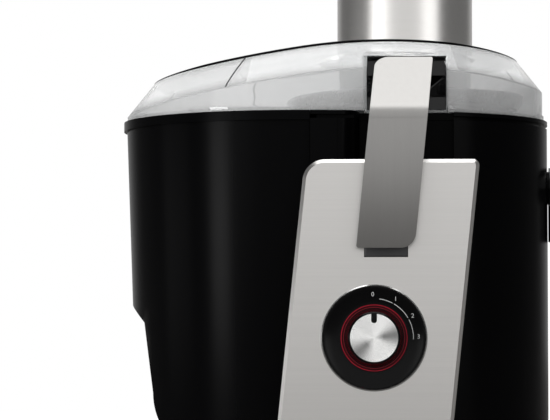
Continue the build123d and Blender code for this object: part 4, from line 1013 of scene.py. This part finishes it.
def make_lights():
    """Soft boxes that light the juicer, and cards whose reflections run down its curved sides."""
    area_light("left_box", (-0.95, -0.95, 0.42), (-0.05, 0, 0.22), (0.55, 0.9), 16, reflected=False)
    area_light("top_box", (0.0, -0.25, 1.5), (0, 0, 0.2), (1.4, 1.2), 10)
    area_light("right_fill", (1.3, -1.0, 0.7), (0, 0, 0.2), (0.5, 0.8), 7, reflected=False)
    area_light("rear_box", (0.0, 1.4, 1.1), (0, 0, 0.1), (1.8, 0.8), 14, reflected=False)
    area_light("left_card", (-1.3, -0.12, 0.13), (0, -0.12, 0.13), (0.5, 0.26), 0.35)
    area_light("band_card", (-1.15, -0.9, 0.12), (-0.12, -0.1, 0.11), (0.3, 0.26), 2.4)


def make_camera(scene):
    """Long lens a little above the table, aimed at the container's side of the juicer."""
    camera = bpy.data.cameras.new("camera")
    camera.sensor_width = 36
    camera.lens = CAMERA_LENS
    camera.clip_end = 50
    view = bpy.data.objects.new("camera", camera)
    view.location = CAMERA_AT
    view.rotation_euler = CAMERA_TOWARDS.to_track_quat("-Z", "Y").to_euler()
    scene.collection.objects.link(view)
    scene.camera = view
    scene.view_settings.view_transform = "Standard"


# ---- panel and start -------------------------------------------------------------------------------
BUILD_ORDER = (FinishedNodes, Lid, ArmStrips, Dial, Stage)


class JuicerPanel(Panel):
    """Lists the steps that build the juicer"""
    bl_idname = "VIEW3D_PT_juicer"
    bl_label = "Juicer"
    bl_space_type = "VIEW_3D"
    bl_region_type = "UI"
    bl_category = "Juicer"

    def draw(self, context):
        for group in (context.scene.juicer_colours, context.scene.juicer_sizes):
            for label in group.__annotations__:
                self.layout.prop(group, label)
        for step in BUILD_ORDER:
            self.layout.operator(step.bl_idname)


CLASSES = (JuicerColours, JuicerSizes, *BUILD_ORDER, JuicerPanel)


def register():
    """Registers the classes and hangs the settings on the scene."""
    for cls in CLASSES:
        bpy.utils.register_class(cls)
    bpy.types.Scene.juicer_colours = PointerProperty(type=JuicerColours)
    bpy.types.Scene.juicer_sizes = PointerProperty(type=JuicerSizes)


def unregister():
    """Takes the settings and the classes away again."""
    del bpy.types.Scene.juicer_colours
    del bpy.types.Scene.juicer_sizes
    for cls in reversed(CLASSES):
        bpy.utils.unregister_class(cls)


def main():
    """Builds every piece in order."""
    register()
    make_finishes(bpy.context.scene.juicer_colours)
    for step in BUILD_ORDER:
        group, name = step.bl_idname.split(".")
        getattr(getattr(bpy.ops, group), name)()


if __name__ == "__main__":
    main()
